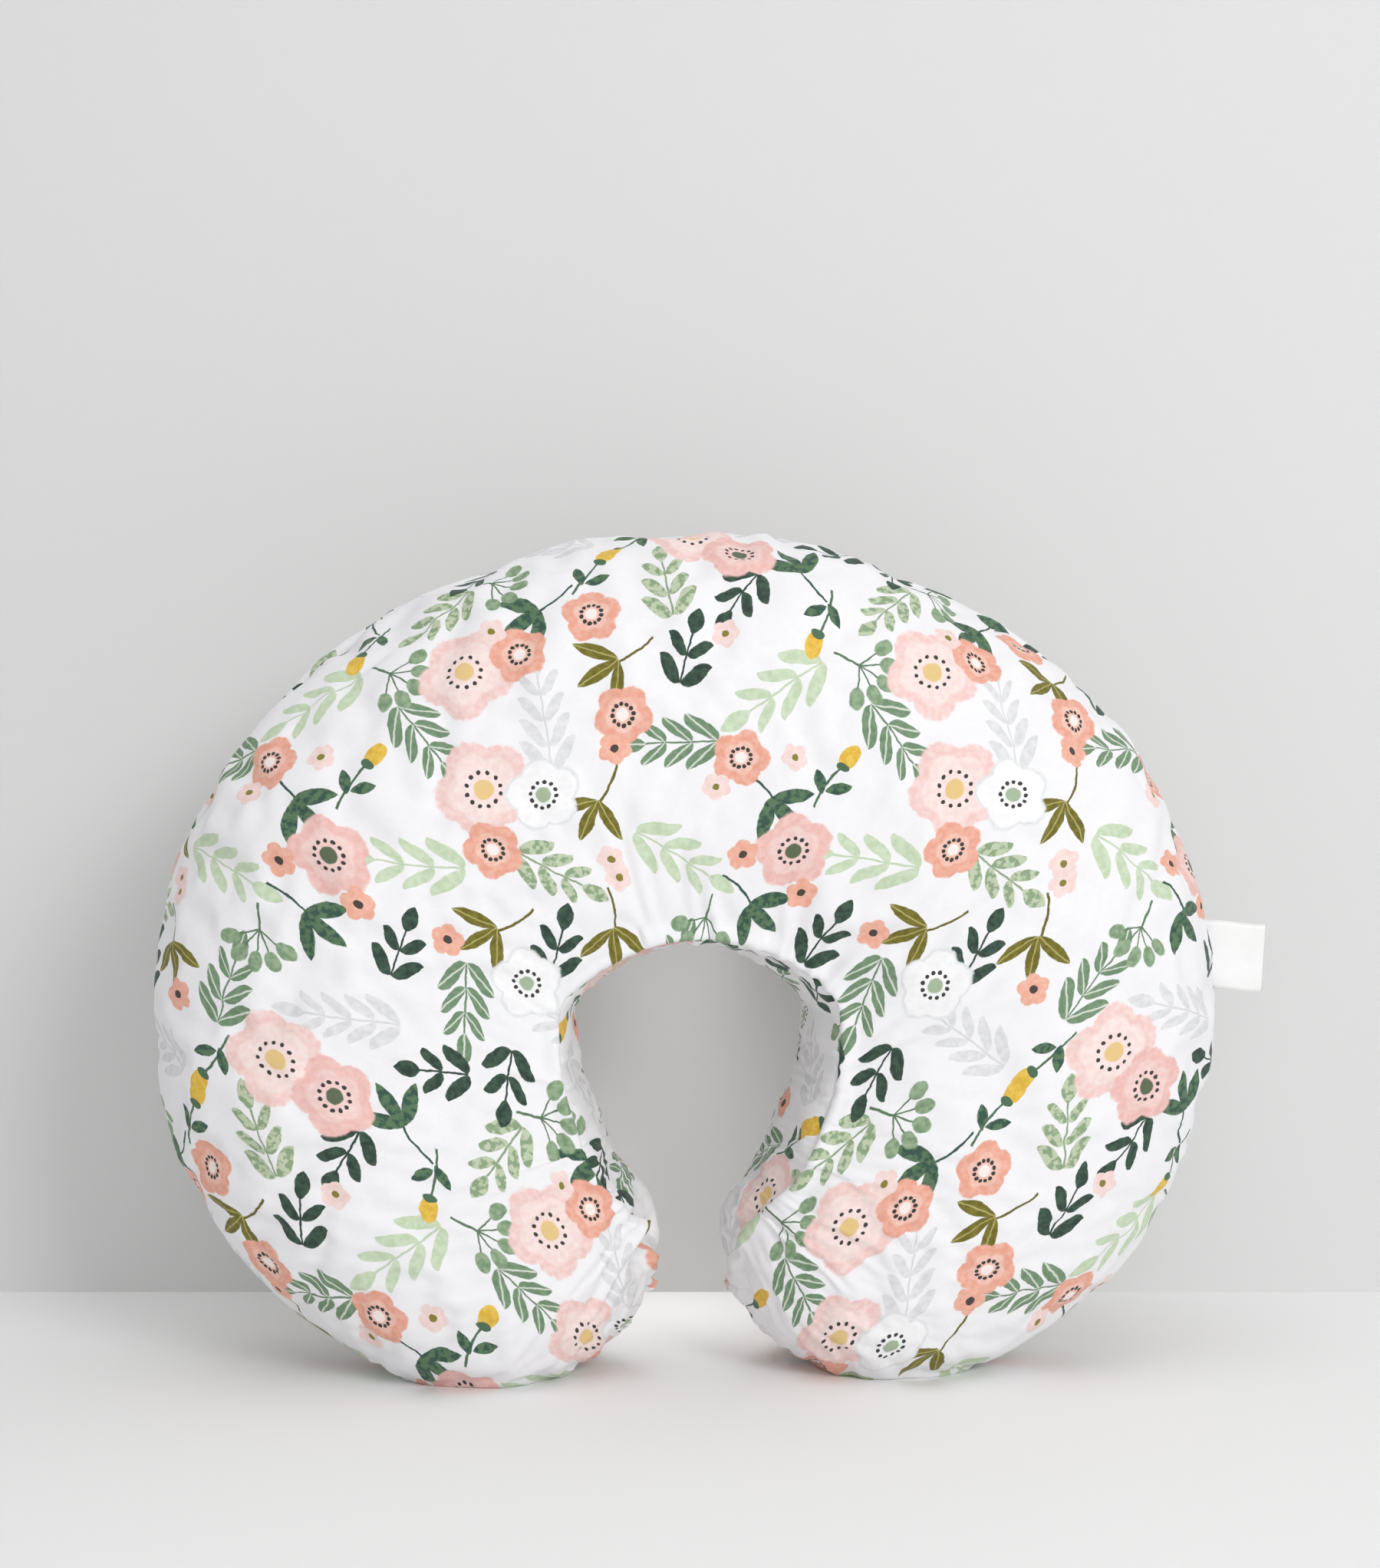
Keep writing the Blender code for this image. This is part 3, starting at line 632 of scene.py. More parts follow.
def panelDetail(angle, share, radius, back):
    # height of the folds above the smooth shape
    shape = coverShape
    outer, section, _ = sectionAt(angle)
    side = -1.0 if back else 1.0
    seed = 7.3 if back else 0.0
    turn = math.radians(angle)
    height = 0.0
    # puckers along the outer seam
    arc = turn * outer
    strength = 0.45 + 0.55 * step(abs(angle), 60.0, 105.0) + 0.25 * softNoise(angle / 14.0, 3.0 + seed, 0.0)
    pucker = (softNoise(arc / shape["puckerLength"], share * 4.0, seed)
              + 0.5 * softNoise(arc / 0.008, share * 9.0, seed + 2))
    height += shape["puckerDepth"] * strength * pucker * math.exp(-share * section * 1.2 / shape["puckerReach"]) * 1.4
    # broad softness of the stuffing
    x, z = radius * math.sin(turn), radius * math.cos(turn)
    height += shape["softDepth"] * softNoise(x / shape["softLength"], z / shape["softLength"], seed + 5)
    height += 0.0010 * softNoise(x / 0.030, z / 0.030, seed + 9)
    # folds that fan out from the waist opening
    fromInner = max(0.0, radius - smoothTable(stations, abs(angle), 2))
    where = 0.30 + 0.70 * step(angle * side, -25.0, 10.0) * step(angle * side, 85.0, 50.0)
    where += 0.6 * step(abs(angle), 112.0, 130.0)
    waves = softNoise(angle / 8.5 + 1.3 * softNoise(fromInner / 0.06, angle / 30, seed), fromInner / 0.13, seed + 11)
    ridged = 0.25 - abs(waves)
    height += shape["fanDepth"] * where * ridged * math.exp(-(fromInner / 0.062) ** 1.6)
    inGather = softNoise(angle / 3.2, fromInner / 0.05, seed + 15)
    height += 0.0011 * inGather * math.exp(-fromInner / 0.014)
    if not back:
        height += tipTuck(angle, share)
    # the seams: a rounded ridge beside the gusset seam, then both pull in
    height += shape["ridge"] * math.exp(-((fromInner - 0.0035) / shape["ridgeWidth"]) ** 2)
    return height * zipCalm(angle, share, back)


def gridMesh(columns, rows, place, flip):
    # a bmesh grid moved onto place(column, row)
    mesh = bmesh.new()
    bmesh.ops.create_grid(mesh, x_segments=columns, y_segments=rows, size=0.5)
    lookup = {}
    for vert in mesh.verts:
        key = (round((vert.co.x + 0.5) * columns), round((vert.co.y + 0.5) * rows))
        lookup[key] = vert
    for (i, j), vert in lookup.items():
        vert.co = place(i, j)
    if flip:
        bmesh.ops.reverse_faces(mesh, faces=mesh.faces)
    mesh.normal_update()
    return mesh, lookup


def addPrint(mesh, lookup, printAt):
    # the cloth's own flat coordinates, and the print cell that each face takes its ink from
    layer = mesh.loops.layers.uv.new("Print")
    keys = {vert: key for key, vert in lookup.items()}
    width, height = repeatSize[0] / 1000, repeatSize[1] / 1000
    cellsX, cellsY = clothLook["cells"]
    for face in mesh.faces:
        total = Vector((0.0, 0.0))
        for loop in face.loops:
            place = Vector(printAt(*keys[loop.vert]))
            loop[layer].uv = place
            total += place
        total /= len(face.loops)
        cellX = int((total.x % width) / width * cellsX) % cellsX
        cellY = int((total.y % height) / height * cellsY) % cellsY
        face.material_index = cellY * cellsX + cellX


def turnInEdges(mesh, inward, depth, pick=None):
    # carries the border of a cut piece inwards, as its seam allowance
    edges = [edge for edge in mesh.edges if edge.is_boundary and (pick is None or pick(edge))]
    made = bmesh.ops.extrude_edge_only(mesh, edges=edges)["geom"]
    fresh = [part for part in made if isinstance(part, bmesh.types.BMVert)]
    for vert in fresh:
        vert.co = vert.co + inward(vert.co) * depth
    return fresh


def finishPiece(mesh, name, materials):
    data = bpy.data.meshes.new(name)
    mesh.to_mesh(data)
    mesh.free()
    for material in materials:
        data.materials.append(material)
    data.shade_smooth()
    thing = bpy.data.objects.new(name, data)
    bpy.context.scene.collection.objects.link(thing)
    return thing


def makePanel(name, back, columns, rowCount, depth, detailed, slit=False, trim=0.0, room=0.0):
    angles = [a * (1 - trim) for a in columnAngles(columns)]
    if slit:
        angles = snapAngles(angles)
    shares, first, slitRows = rowShares(rowCount)
    profiles = [[panelProfile(angle, share) for share in shares] for angle in angles]

    def place(i, j):
        radius, rise, _ = profiles[i][j]
        turn = math.radians(angles[i])
        y = rise if back else -rise
        return Vector((middle.x + math.sin(turn) * radius, y, middle.z + math.cos(turn) * radius))

    mesh, lookup = gridMesh(columns, rowCount, place, not back)
    if detailed:
        printAt = lambda i, j: ((-1 if back else 1) * printPlace(angles[i], profiles[i][j][2])[0],
                                printPlace(angles[i], profiles[i][j][2])[1])
        addPrint(mesh, lookup, printAt)
    for (i, j), vert in lookup.items():
        detail = panelDetail(angles[i], shares[j], profiles[i][j][0], back)
        sunk = depth + room * (1.0 - zipCalm(angles[i], shares[j], back))
        crease = wrinkleAt("back" if back else "front", angles[i], shares[j])
        vert.co = vert.co + vert.normal * (detail - sunk) + crease * zipCalm(angles[i], shares[j], back)
    pinSeams(lookup, angles, rowCount, back, depth)
    for vert in mesh.verts:
        vert.co.z = max(vert.co.z, depth)
    if slit:
        keys = {vert: key for key, vert in lookup.items()}
        gone = [face for face in mesh.faces
                if all(first <= j <= first + slitRows and abs(angles[i]) <= zipShape["angle"] + 0.01
                       for i, j in (keys[vert] for vert in face.verts))]
        bmesh.ops.delete(mesh, geom=gone, context="FACES")
    return mesh, lookup


def snapAngles(angles):
    # puts a column on each end of the slit
    snapped = list(angles)
    for target in (-zipShape["angle"], zipShape["angle"]):
        nearest = min(range(len(snapped)), key=lambda i: abs(snapped[i] - target))
        snapped[nearest] = target
    return snapped


def pinSeams(lookup, angles, rowCount, back, depth):
    # where two cut pieces meet, both edges dip into the seam
    tuck = coverShape["seamTuck"]
    sign = 1.0 if back else -1.0
    for i, angle in enumerate(angles):
        outward = seamNormal(angle, 1)
        for j, share in ((0, 1.0), (1, 0.42), (2, 0.12)):
            vert = lookup[(i, j)]
            vert.co = vert.co - outward * (tuck * share)
            if j == 0:
                vert.co.y = sign * max(0.0001, abs(vert.co.y) * 0.2)
        inward = seamNormal(angle, 2)
        for j, share in ((rowCount, 1.0), (rowCount - 1, 0.35)):
            vert = lookup[(i, j)]
            vert.co = vert.co - inward * (tuck * 0.55 * share) - Vector((0.0, sign, 0.0)) * (tuck * 0.25 * share)


def inwardFrom(point):
    # towards the middle of the stuffing
    flat = Vector((point.x - middle.x, 0.0, point.z - middle.z))
    angle = math.degrees(math.atan2(flat.x, flat.z))
    outer, section, _ = sectionAt(min(abs(angle), coverShape["endAngle"]))
    core = flat.normalized() * (outer - section / 2) + Vector((middle.x, 0.0, middle.z))
    return (core - point).normalized()


def makeCover():
    shape = coverShape
    pieces = {}
    for name, back in (("coverFront", False), ("coverBack", True)):
        mesh, _ = makePanel(name, back, shape["columns"], shape["rows"], 0.0, True, slit=back)
        turnInEdges(mesh, inwardFrom, shape["allowance"])
        pieces[name] = finishPiece(mesh, name, printMaterials)
        print(name, "made:", len(pieces[name].data.polygons), "faces")
    return pieces


def gussetDetail(angle, share):
    seam = 1 - abs(share)
    height = 0.0012 * softNoise(angle / 9.0, share * 1.6, 21.0) + 0.0006 * softNoise(angle / 3.0, share * 2.0, 23.0)
    gather = softNoise(angle / 2.6, share * 1.2, 27.0)
    height += 0.0012 * gather * math.exp(-seam / 0.16)
    height += 0.0022 * softNoise(angle / 16.0, share, 29.0) * step(abs(angle), 95.0, 130.0)
    height -= 0.0100 * math.exp(-((angle + 157.5) / 2.7) ** 2) * step(-share, 0.15, 0.75)     # the tuck at the left tip
    return height


def makeGusset(name, columns, rows, depth, detailed, trim=0.0):
    angles = [a * (1 - trim) for a in columnAngles(columns)]
    mesh, lookup = gridMesh(columns, rows, lambda i, j: gussetPoint(angles[i], -1 + 2 * j / rows), True)
    lengths = [0.0]
    for i in range(columns):
        lengths.append(lengths[-1] + (seamPoint(angles[i + 1], 2) - seamPoint(angles[i], 2)).length)
    if detailed:
        addPrint(mesh, lookup, lambda i, j: (lengths[i] + 0.035, lookup[(i, j)].co.y + 0.195))
    for (i, j), vert in lookup.items():
        share = -1 + 2 * j / rows
        raised = vert.normal * (gussetDetail(angles[i], share) - depth)
        vert.co = vert.co + raised + wrinkleAt("gusset", angles[i], share)
    tuck = coverShape["seamTuck"]
    for i, angle in enumerate(angles):
        inward = seamNormal(angle, 2)
        for j, share in ((0, 1.0), (1, 0.4), (rows, 1.0), (rows - 1, 0.4)):
            vert = lookup[(i, j)]
            vert.co = vert.co - inward * (tuck * 0.55 * share)
    for vert in mesh.verts:
        vert.co.z = max(vert.co.z, depth)
    return mesh, lookup


def weldedBody(columns, rows, gussetRows, depth, trim, room=0.0):
    # both panels and the gusset as one closed skin
    body = bmesh.new()
    front, frontAt = makePanel("front", False, columns, rows, depth, False, trim=trim)
    back, backAt = makePanel("back", True, columns, rows, depth, False, trim=trim, room=room)
    middlePart, middleAt = makeGusset("gusset", columns, gussetRows, depth, False, trim=trim)
    for i in range(columns + 1):
        seam = (frontAt[(i, 0)].co + backAt[(i, 0)].co) / 2
        frontAt[(i, 0)].co = seam
        backAt[(i, 0)].co = seam
        for part, j in ((frontAt, 0), (backAt, gussetRows)):
            seam = (part[(i, rows)].co + middleAt[(i, j)].co) / 2
            part[(i, rows)].co = seam
            middleAt[(i, j)].co = seam
    places = {part: {key: vert.co.copy() for key, vert in lookup.items()}
              for part, lookup in (("front", frontAt), ("back", backAt), ("gusset", middleAt))}
    for part in (front, back, middlePart):
        data = bpy.data.meshes.new("part")
        part.to_mesh(data)
        part.free()
        body.from_mesh(data)
        bpy.data.meshes.remove(data)
    bmesh.ops.remove_doubles(body, verts=body.verts, dist=0.000001)
    bmesh.ops.holes_fill(body, edges=[edge for edge in body.edges if edge.is_boundary], sides=0)
    return body, places


# Cover: wrinkles found by a cloth simulation of the welded cover, a little too large for its filling

wrinkleLook = {
    "columns": 176, "rows": 30, "gussetRows": 10, "frames": 22, "grow": 0.055, "seamShrink": 0.03,
    "bending": 0.08, "hold": 0.22, "blurAlong": 9, "blurAcross": 5, "cap": 0.0042, "strength": 0.95,
}
wrinkles = {}


def wrinkleAt(part, angle, share):
    # the simulated wrinkle as a vector, read between the coarse grid's points
    if part not in wrinkles:
        return Vector((0.0, 0.0, 0.0))
    angles, shares, table = wrinkles[part]
    i = min(max(bisect.bisect_right(angles, angle) - 1, 0), len(angles) - 2)
    j = min(max(bisect.bisect_right(shares, share) - 1, 0), len(shares) - 2)
    u = min(max((angle - angles[i]) / (angles[i + 1] - angles[i]), 0.0), 1.0)
    v = min(max((share - shares[j]) / (shares[j + 1] - shares[j]), 0.0), 1.0)
    columns = [table[min(max(i + k, 0), len(angles) - 1)] for k in (-1, 0, 1, 2)]
    rows = [min(max(j + k, 0), len(shares) - 1) for k in (-1, 0, 1, 2)]
    across = [catmull(*[column[row] for row in rows], v) for column in columns]
    return Vector(catmull(*across, u)) * wrinkleLook["strength"]


def catmull(a, b, c, d, t):
    return b + ((c - a) + ((a * 2 - b * 5 + c * 4 - d) + (b * 3 - a - c * 3 + d) * t) * t) * (t * 0.5)


def blurred(field, reach, axis):
    padding = [(reach, reach) if k == axis else (0, 0) for k in range(3)]
    total = np.cumsum(np.pad(field, padding, mode="edge"), axis=axis)
    total = np.concatenate([np.zeros_like(np.take(total, [0], axis=axis)), total], axis=axis)
    size = field.shape[axis]
    high = np.take(total, range(2 * reach + 1, 2 * reach + 1 + size), axis=axis)
    return (high - np.take(total, range(size), axis=axis)) / (2 * reach + 1)


def simulateWrinkles():
    look = wrinkleLook
    body, places = weldedBody(look["columns"], look["rows"], look["gussetRows"], 0.0, 0.0)
    cloth = finishPiece(body, "wrinkleCloth", [])
    finder = kdtree.KDTree(len(cloth.data.vertices))
    for vert in cloth.data.vertices:
        finder.insert(vert.co, vert.index)
    finder.balance()
    seams = cloth.vertex_groups.new(name="seams")
    hold = cloth.vertex_groups.new(name="hold")
    hold.add(range(len(cloth.data.vertices)), look["hold"], "REPLACE")
    for part in ("front", "back"):
        for (_, j), place in places[part].items():
            if j in (0, look["rows"]):
                seams.add([finder.find(place)[1]], 1.0, "REPLACE")
    settings = cloth.modifiers.new("cloth", "CLOTH").settings
    settings.quality = 6
    settings.mass = 0.12
    settings.tension_stiffness = 18
    settings.compression_stiffness = 18
    settings.shear_stiffness = 6
    settings.bending_stiffness = look["bending"]
    settings.tension_damping = settings.compression_damping = 8
    settings.air_damping = 3
    settings.effector_weights.gravity = 0.0
    settings.vertex_group_mass = "hold"
    settings.pin_stiffness = 1.0
    settings.vertex_group_shrink = "seams"
    settings.shrink_min = -look["grow"]
    settings.shrink_max = look["seamShrink"]
    cloth.modifiers["cloth"].point_cache.frame_end = look["frames"]
    scene = bpy.context.scene
    for frameNumber in range(1, look["frames"] + 1):
        scene.frame_set(frameNumber)
    moved = cloth.evaluated_get(bpy.context.evaluated_depsgraph_get()).data
    angles = columnAngles(look["columns"])
    sharesOf = {"front": rowShares(look["rows"])[0], "back": rowShares(look["rows"])[0],
                "gusset": [-1 + 2 * j / look["gussetRows"] for j in range(look["gussetRows"] + 1)]}
    for part, shares in sharesOf.items():
        field = np.zeros((len(angles), len(shares), 3))
        for (i, j), place in places[part].items():
            index = finder.find(place)[1]
            field[i, j] = moved.vertices[index].co - cloth.data.vertices[index].co
        smooth = field
        for _ in range(2):
            smooth = blurred(blurred(smooth, look["blurAlong"], 0), min(look["blurAcross"], len(shares) // 2), 1)
        fine = field - smooth
        size = np.linalg.norm(fine, axis=2, keepdims=True)
        print("wrinkles of", part, "mean", round(float(size.mean()) * 1000, 2), "mm, most",
              round(float(size.max()) * 1000, 2), "mm")
        fine *= look["cap"] / (look["cap"] + size)
        for near, share in ((0, 0.0), (1, 0.5), (2, 0.85)):
            fine[near] *= share
            fine[-1 - near] *= share
        fine[:, 0] = fine[:, -1] = 0.0
        wrinkles[part] = (angles, shares, fine)
    scene.frame_set(1)
    data = cloth.data
    bpy.data.objects.remove(cloth)
    bpy.data.meshes.remove(data)


simulateWrinkles()

cover = makeCover()
gussetMesh, gussetLookup = makeGusset("coverGusset", coverShape["columns"], coverShape["gussetRows"], 0.0, True)
turnInEdges(gussetMesh, inwardFrom, coverShape["allowance"])
cover["coverGusset"] = finishPiece(gussetMesh, "coverGusset", printMaterials)
for name, node in (("coverFront", "cover_front_panel"), ("coverBack", "cover_back_panel"),
                   ("coverGusset", "cover_inner_gusset")):
    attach(cover[name], "pillow")
    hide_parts(node)
print("cover made")

# Casing and filling inside the cover

innerLook = {
    "casingDepth": 0.0034, "fillingDepth": 0.0052, "zipRoom": 0.0026,
    "columns": 200, "rows": 40, "gussetRows": 16, "casingTrim": 0.012, "fillingTrim": 0.022,
}


def plainCloth(name, colour, shadeColour, thread, strength, roughness):
    material, shader, start = newMaterial(name, roughness, {"Sheen Weight": 0.1, "Sheen Roughness": 0.4})
    place = start.node("ShaderNodeTexCoord", None, None, 3)
    feed(shader, "Base Color", blend(place, tone(colour), tone(shadeColour), place.noise(40.0, 3.0)))
    cycle = 2 * math.pi / thread
    x, z = place.parts()
    weave = (x * cycle).math("SINE") + ((z + x * 0.5) * cycle).math("SINE")
    feedBump(shader, weave * 0.25 + place.noise(700.0, 1.0), strength, 0.0005)
    return material


def fibreCloth():
    material, shader, start = newMaterial("fibre", 1.0, {"Sheen Weight": 0.35, "Sheen Roughness": 0.6})
    place = start.node("ShaderNodeTexCoord", None, None, 3)
    tuftsAndHollowShade = place.noise(55.0, 5.0)
    # painted shade: the colour is darker where the tufts dip, from the same noise that raises them in the bump
    feed(shader, "Base Color", blend(tuftsAndHollowShade, tone("#e9e9e6"), tone("#fbfbfa"), tuftsAndHollowShade))
    feedBump(shader, tuftsAndHollowShade + place.noise(420.0, 2.0) * 0.5, 0.7, 0.003)
    return material


casingCloth = plainCloth("casingCloth", "#f1efe9", "#e7e4dc", 0.0006, 0.25, 0.9)
fibre = fibreCloth()


def makeCasing():
    look = innerLook
    for name, node, back in (("casingFront", "casing_front_panel", False), ("casingBack", "casing_back_panel", True)):
        mesh, _ = makePanel(name, back, look["columns"], look["rows"], look["casingDepth"], False,
                            trim=look["casingTrim"], room=look["zipRoom"])
        turnInEdges(mesh, inwardFrom, 0.0015)
        thing = finishPiece(mesh, name, [casingCloth])
        settlePiece(thing, "pillow", node)
    mesh, _ = makeGusset("casingGusset", look["columns"], look["gussetRows"], look["casingDepth"], False,
                         trim=look["casingTrim"])
    turnInEdges(mesh, inwardFrom, 0.0015)
    thing = finishPiece(mesh, "casingGusset", [casingCloth])
    settlePiece(thing, "pillow", "casing_inner_gusset")


def settlePiece(thing, body, node):
    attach(thing, body)
    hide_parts(node)


makeCasing()
filling = finishPiece(weldedBody(innerLook["columns"], innerLook["rows"], innerLook["gussetRows"],
                                 innerLook["fillingDepth"], innerLook["fillingTrim"], innerLook["zipRoom"])[0],
                      "filling", [fibre])
settlePiece(filling, "pillow", "fibre_filling")
print("casing and filling made")

# Side tag: a folded satin ribbon, blank

tagLook = {
    "reach": 0.030, "width": 0.0345, "height": 0.202, "tilt": 3.5, "gap": 0.0011, "thickness": 0.00038,
    "root": 0.0040, "wave": 0.0010,
}


def satinRibbon(name, colour):
    material, shader, start = newMaterial(name, 0.42, {"Sheen Weight": 0.2, "Coat Roughness": 0.3})
    place = start.node("ShaderNodeTexCoord", None, None, 3)
    x, z = place.parts()
    threads = (z * (2 * math.pi / 0.00045)).math("SINE")
    feed(shader, "Base Color", blend(x, tone(colour), tone("#efefee"), place.noise(90.0, 2.0)))
    feed(shader, "Roughness", place.noise(300.0, 2.0) * 0.18 + 0.34)
    feedBump(shader, threads * 0.3 + place.noise(500.0, 1.0) * 0.6, 0.18, 0.0002)
    return material


satin = satinRibbon("satin", "#fafafa")


def makeTag():
    look = tagLook
    edge = max(seamPoint(angle / 2, 1).x for angle in range(120, 170)) + middle.x + 0.0004
    length = look["reach"] + look["root"]
    half = look["gap"] / 2
    columns, rows = 56, 14

    def ribbon(share):
        # along the ribbon: out on the front, round the fold, back on the other side
        total = 2 * length + math.pi * half
        run = share * total
        if run < length:
            return run, -1.0
        if run > total - length:
            return total - run, 1.0
        turn = (run - length) / half
        return length + half * math.sin(turn), -math.cos(turn)

    def place(i, j):
        run, side = ribbon(i / columns)
        up = (j / rows - 0.5) * look["width"]
        apart = half * (1.0 + 0.6 * math.sin(math.pi * run / length))
        wave = look["wave"] * math.sin(2.2 * run / length + up * 40) * run / length
        point = Vector((run - look["root"], side * apart + wave, up + 0.0004 * math.sin(run * 160)))
        point = Matrix.Rotation(math.radians(look["tilt"]), 3, "Y") @ point
        return point + Vector((edge, 0.0, look["height"]))

    mesh, _ = gridMesh(columns, rows, place, False)
    bmesh.ops.solidify(mesh, geom=mesh.faces[:], thickness=look["thickness"])
    tag = finishPiece(mesh, "sideTag", [satin])
    settlePiece(tag, "pillow", "side_tag")


makeTag()

# Zip in the back panel

zipLook = {
    "pitch": 0.0015, "toothLength": 0.00095, "toothWidth": 0.0022, "toothHeight": 0.0018,
    "tapeWidth": 0.0120, "tapeThickness": 0.00045, "tapeSteps": 120,
}


def zipFrame(angle):
    turn = math.radians(zipShape["row"])
    crown, depth = coverShape["crownInset"], coverShape["halfDepth"]
    across = Vector((-crown * math.sin(turn), depth * math.cos(turn))).normalized()
    outward = Vector((math.sin(math.radians(angle)), 0.0, math.cos(math.radians(angle))))
    origin = middle + outward * (stations[0][1] - crown * (1 - math.cos(turn)))
    origin.y = 0.0002 + depth * math.sin(turn)
    side = outward * across.x + Vector((0.0, across.y, 0.0))
    up = outward * across.y + Vector((0.0, -across.x, 0.0))
    along = Vector((outward.z, 0.0, -outward.x))
    return Matrix((
        (along.x, side.x, up.x, origin.x), (along.y, side.y, up.y, origin.y),
        (along.z, side.z, up.z, origin.z), (0.0, 0.0, 0.0, 1.0)))


def tapeCloth():
    material, shader, start = newMaterial("zipTape", 0.8, {"Sheen Weight": 0.15})
    place = start.node("ShaderNodeTexCoord", None, None, 3)
    x, z = place.parts()
    cycle = 2 * math.pi / 0.0008
    twill = ((x + z) * cycle).math("SINE") * ((x - z) * cycle).math("SINE")
    feed(shader, "Base Color", blend(x, tone("#f0f0ee"), tone("#dededb"), twill * 0.5 + 0.5))
    feedBump(shader, twill, 0.3, 0.0003)
    return material


def nylonCoil():
    material, shader, start = newMaterial("zipCoil", 0.35, {"Coat Weight": 0.15})
    place = start.node("ShaderNodeTexCoord", None, None, 3)
    feed(shader, "Base Color", blend(place, tone("#f4f4f2"), tone("#e6e6e3"), place.noise(400.0, 2.0)))
    feed(shader, "Roughness", place.noise(900.0, 2.0) * 0.2 + 0.25)
    return material


def nickel():
    material, shader, start = newMaterial("zipMetal", 0.28, {"Metallic": 1.0})
    place = start.node("ShaderNodeTexCoord", None, None, 3)
    rubbed = (place * (900.0, 900.0, 2500.0)).noise(1.0, 3.0)
    feed(shader, "Base Color", blend(place, tone("#c9c9cc"), tone("#e2e2e4"), rubbed))
    feed(shader, "Roughness", rubbed * 0.22 + 0.18)
    feedBump(shader, rubbed, 0.06, 0.0002)
    return material


zipTapeCloth, zipNylon, zipNickel = tapeCloth(), nylonCoil(), nickel()
labelCloth = satinRibbon("labelCloth", "#f4f4f1")


def makeTapes():
    look = zipLook
    limit = zipShape["angle"]
    # (distance from the slit's middle, height) from the chain outwards, under the cloth
    line = ((0.0010, -0.0010), (0.0034, -0.0011), (0.0052, -0.0015), (0.0090, -0.0020), (0.0132, -0.0029))
    for name, node, sign in (("zipTapeUpper", "zip_tape_upper", -1), ("zipTapeLower", "zip_tape_lower", 1)):
        def place(i, j):
            angle = -limit + 2 * limit * i / look["tapeSteps"]
            return zipFrame(angle) @ Vector((0.0, sign * line[j][0], line[j][1]))

        mesh, _ = gridMesh(look["tapeSteps"], len(line) - 1, place, sign < 0)
        bmesh.ops.solidify(mesh, geom=mesh.faces[:], thickness=look["tapeThickness"])
        tape = finishPiece(mesh, name, [zipTapeCloth])
        settlePiece(tape, "pillow", node)
        length = math.radians(2 * limit) * (Vector((zipFrame(0).translation.x - middle.x, 0,
                                                    zipFrame(0).translation.z - middle.z))).length


def makeChains():
    look = zipLook
    limit = zipShape["stopAngle"] - 0.55
    radius = (zipFrame(0).translation - Vector((middle.x, zipFrame(0).translation.y, middle.z))).length
    count = int(math.radians(2 * limit) * radius / look["pitch"])
    for name, node, sign in (("zipChainUpper", "zip_chain_upper", -1), ("zipChainLower", "zip_chain_lower", 1)):
        mesh = bmesh.new()
        for k in range(count):
            share = (k + (0.25 if sign > 0 else 0.75)) / count
            made = bmesh.ops.create_cube(mesh, size=1.0)["verts"]
            size = Matrix.Diagonal((look["toothLength"], look["toothWidth"], look["toothHeight"], 1.0))
            lean = Matrix.Rotation(math.radians(9 * sign), 4, "Z")
            shift = Matrix.Translation((0.0, sign * 0.0016, -0.0007))
            bmesh.ops.transform(mesh, verts=made, matrix=zipFrame(-limit + 2 * limit * share) @ shift @ lean @ size)
        bmesh.ops.bevel(mesh, geom=mesh.edges[:], offset=0.00028, segments=2, profile=0.5, affect="EDGES",
                        material=-1)
        chain = finishPiece(mesh, name, [zipNylon])
        settlePiece(chain, "pillow", node)


def makeStops():
    for name, node, angle in (("zipTopStop", "zip_top_stop", zipShape["stopAngle"]),
                              ("zipEndStop", "zip_end_stop", -zipShape["stopAngle"])):
        mesh = bmesh.new()
        made = bmesh.ops.create_cube(mesh, size=1.0)["verts"]
        size = Matrix.Diagonal((0.0036, 0.0050, 0.0026, 1.0))
        bmesh.ops.transform(mesh, verts=made,
                            matrix=zipFrame(angle) @ Matrix.Translation((0, 0, -0.0005)) @ size)
        bmesh.ops.bevel(mesh, geom=mesh.edges[:], offset=0.0007, segments=3, profile=0.5, affect="EDGES",
                        material=-1)
        stop = finishPiece(mesh, name, [zipNickel])
        settlePiece(stop, "pillow", node)


def block(mesh, size, centre, bevel, taper=1.0):
    made = bmesh.ops.create_cube(mesh, size=1.0)["verts"]
    for vert in made:
        if vert.co.x > 0:
            vert.co.y *= taper
    bmesh.ops.scale(mesh, verts=made, vec=size)
    bmesh.ops.translate(mesh, verts=made, vec=centre)
    edges = {edge for vert in made for edge in vert.link_edges}
    bmesh.ops.bevel(mesh, geom=list(edges), offset=bevel, segments=3, profile=0.5, affect="EDGES", material=-1)


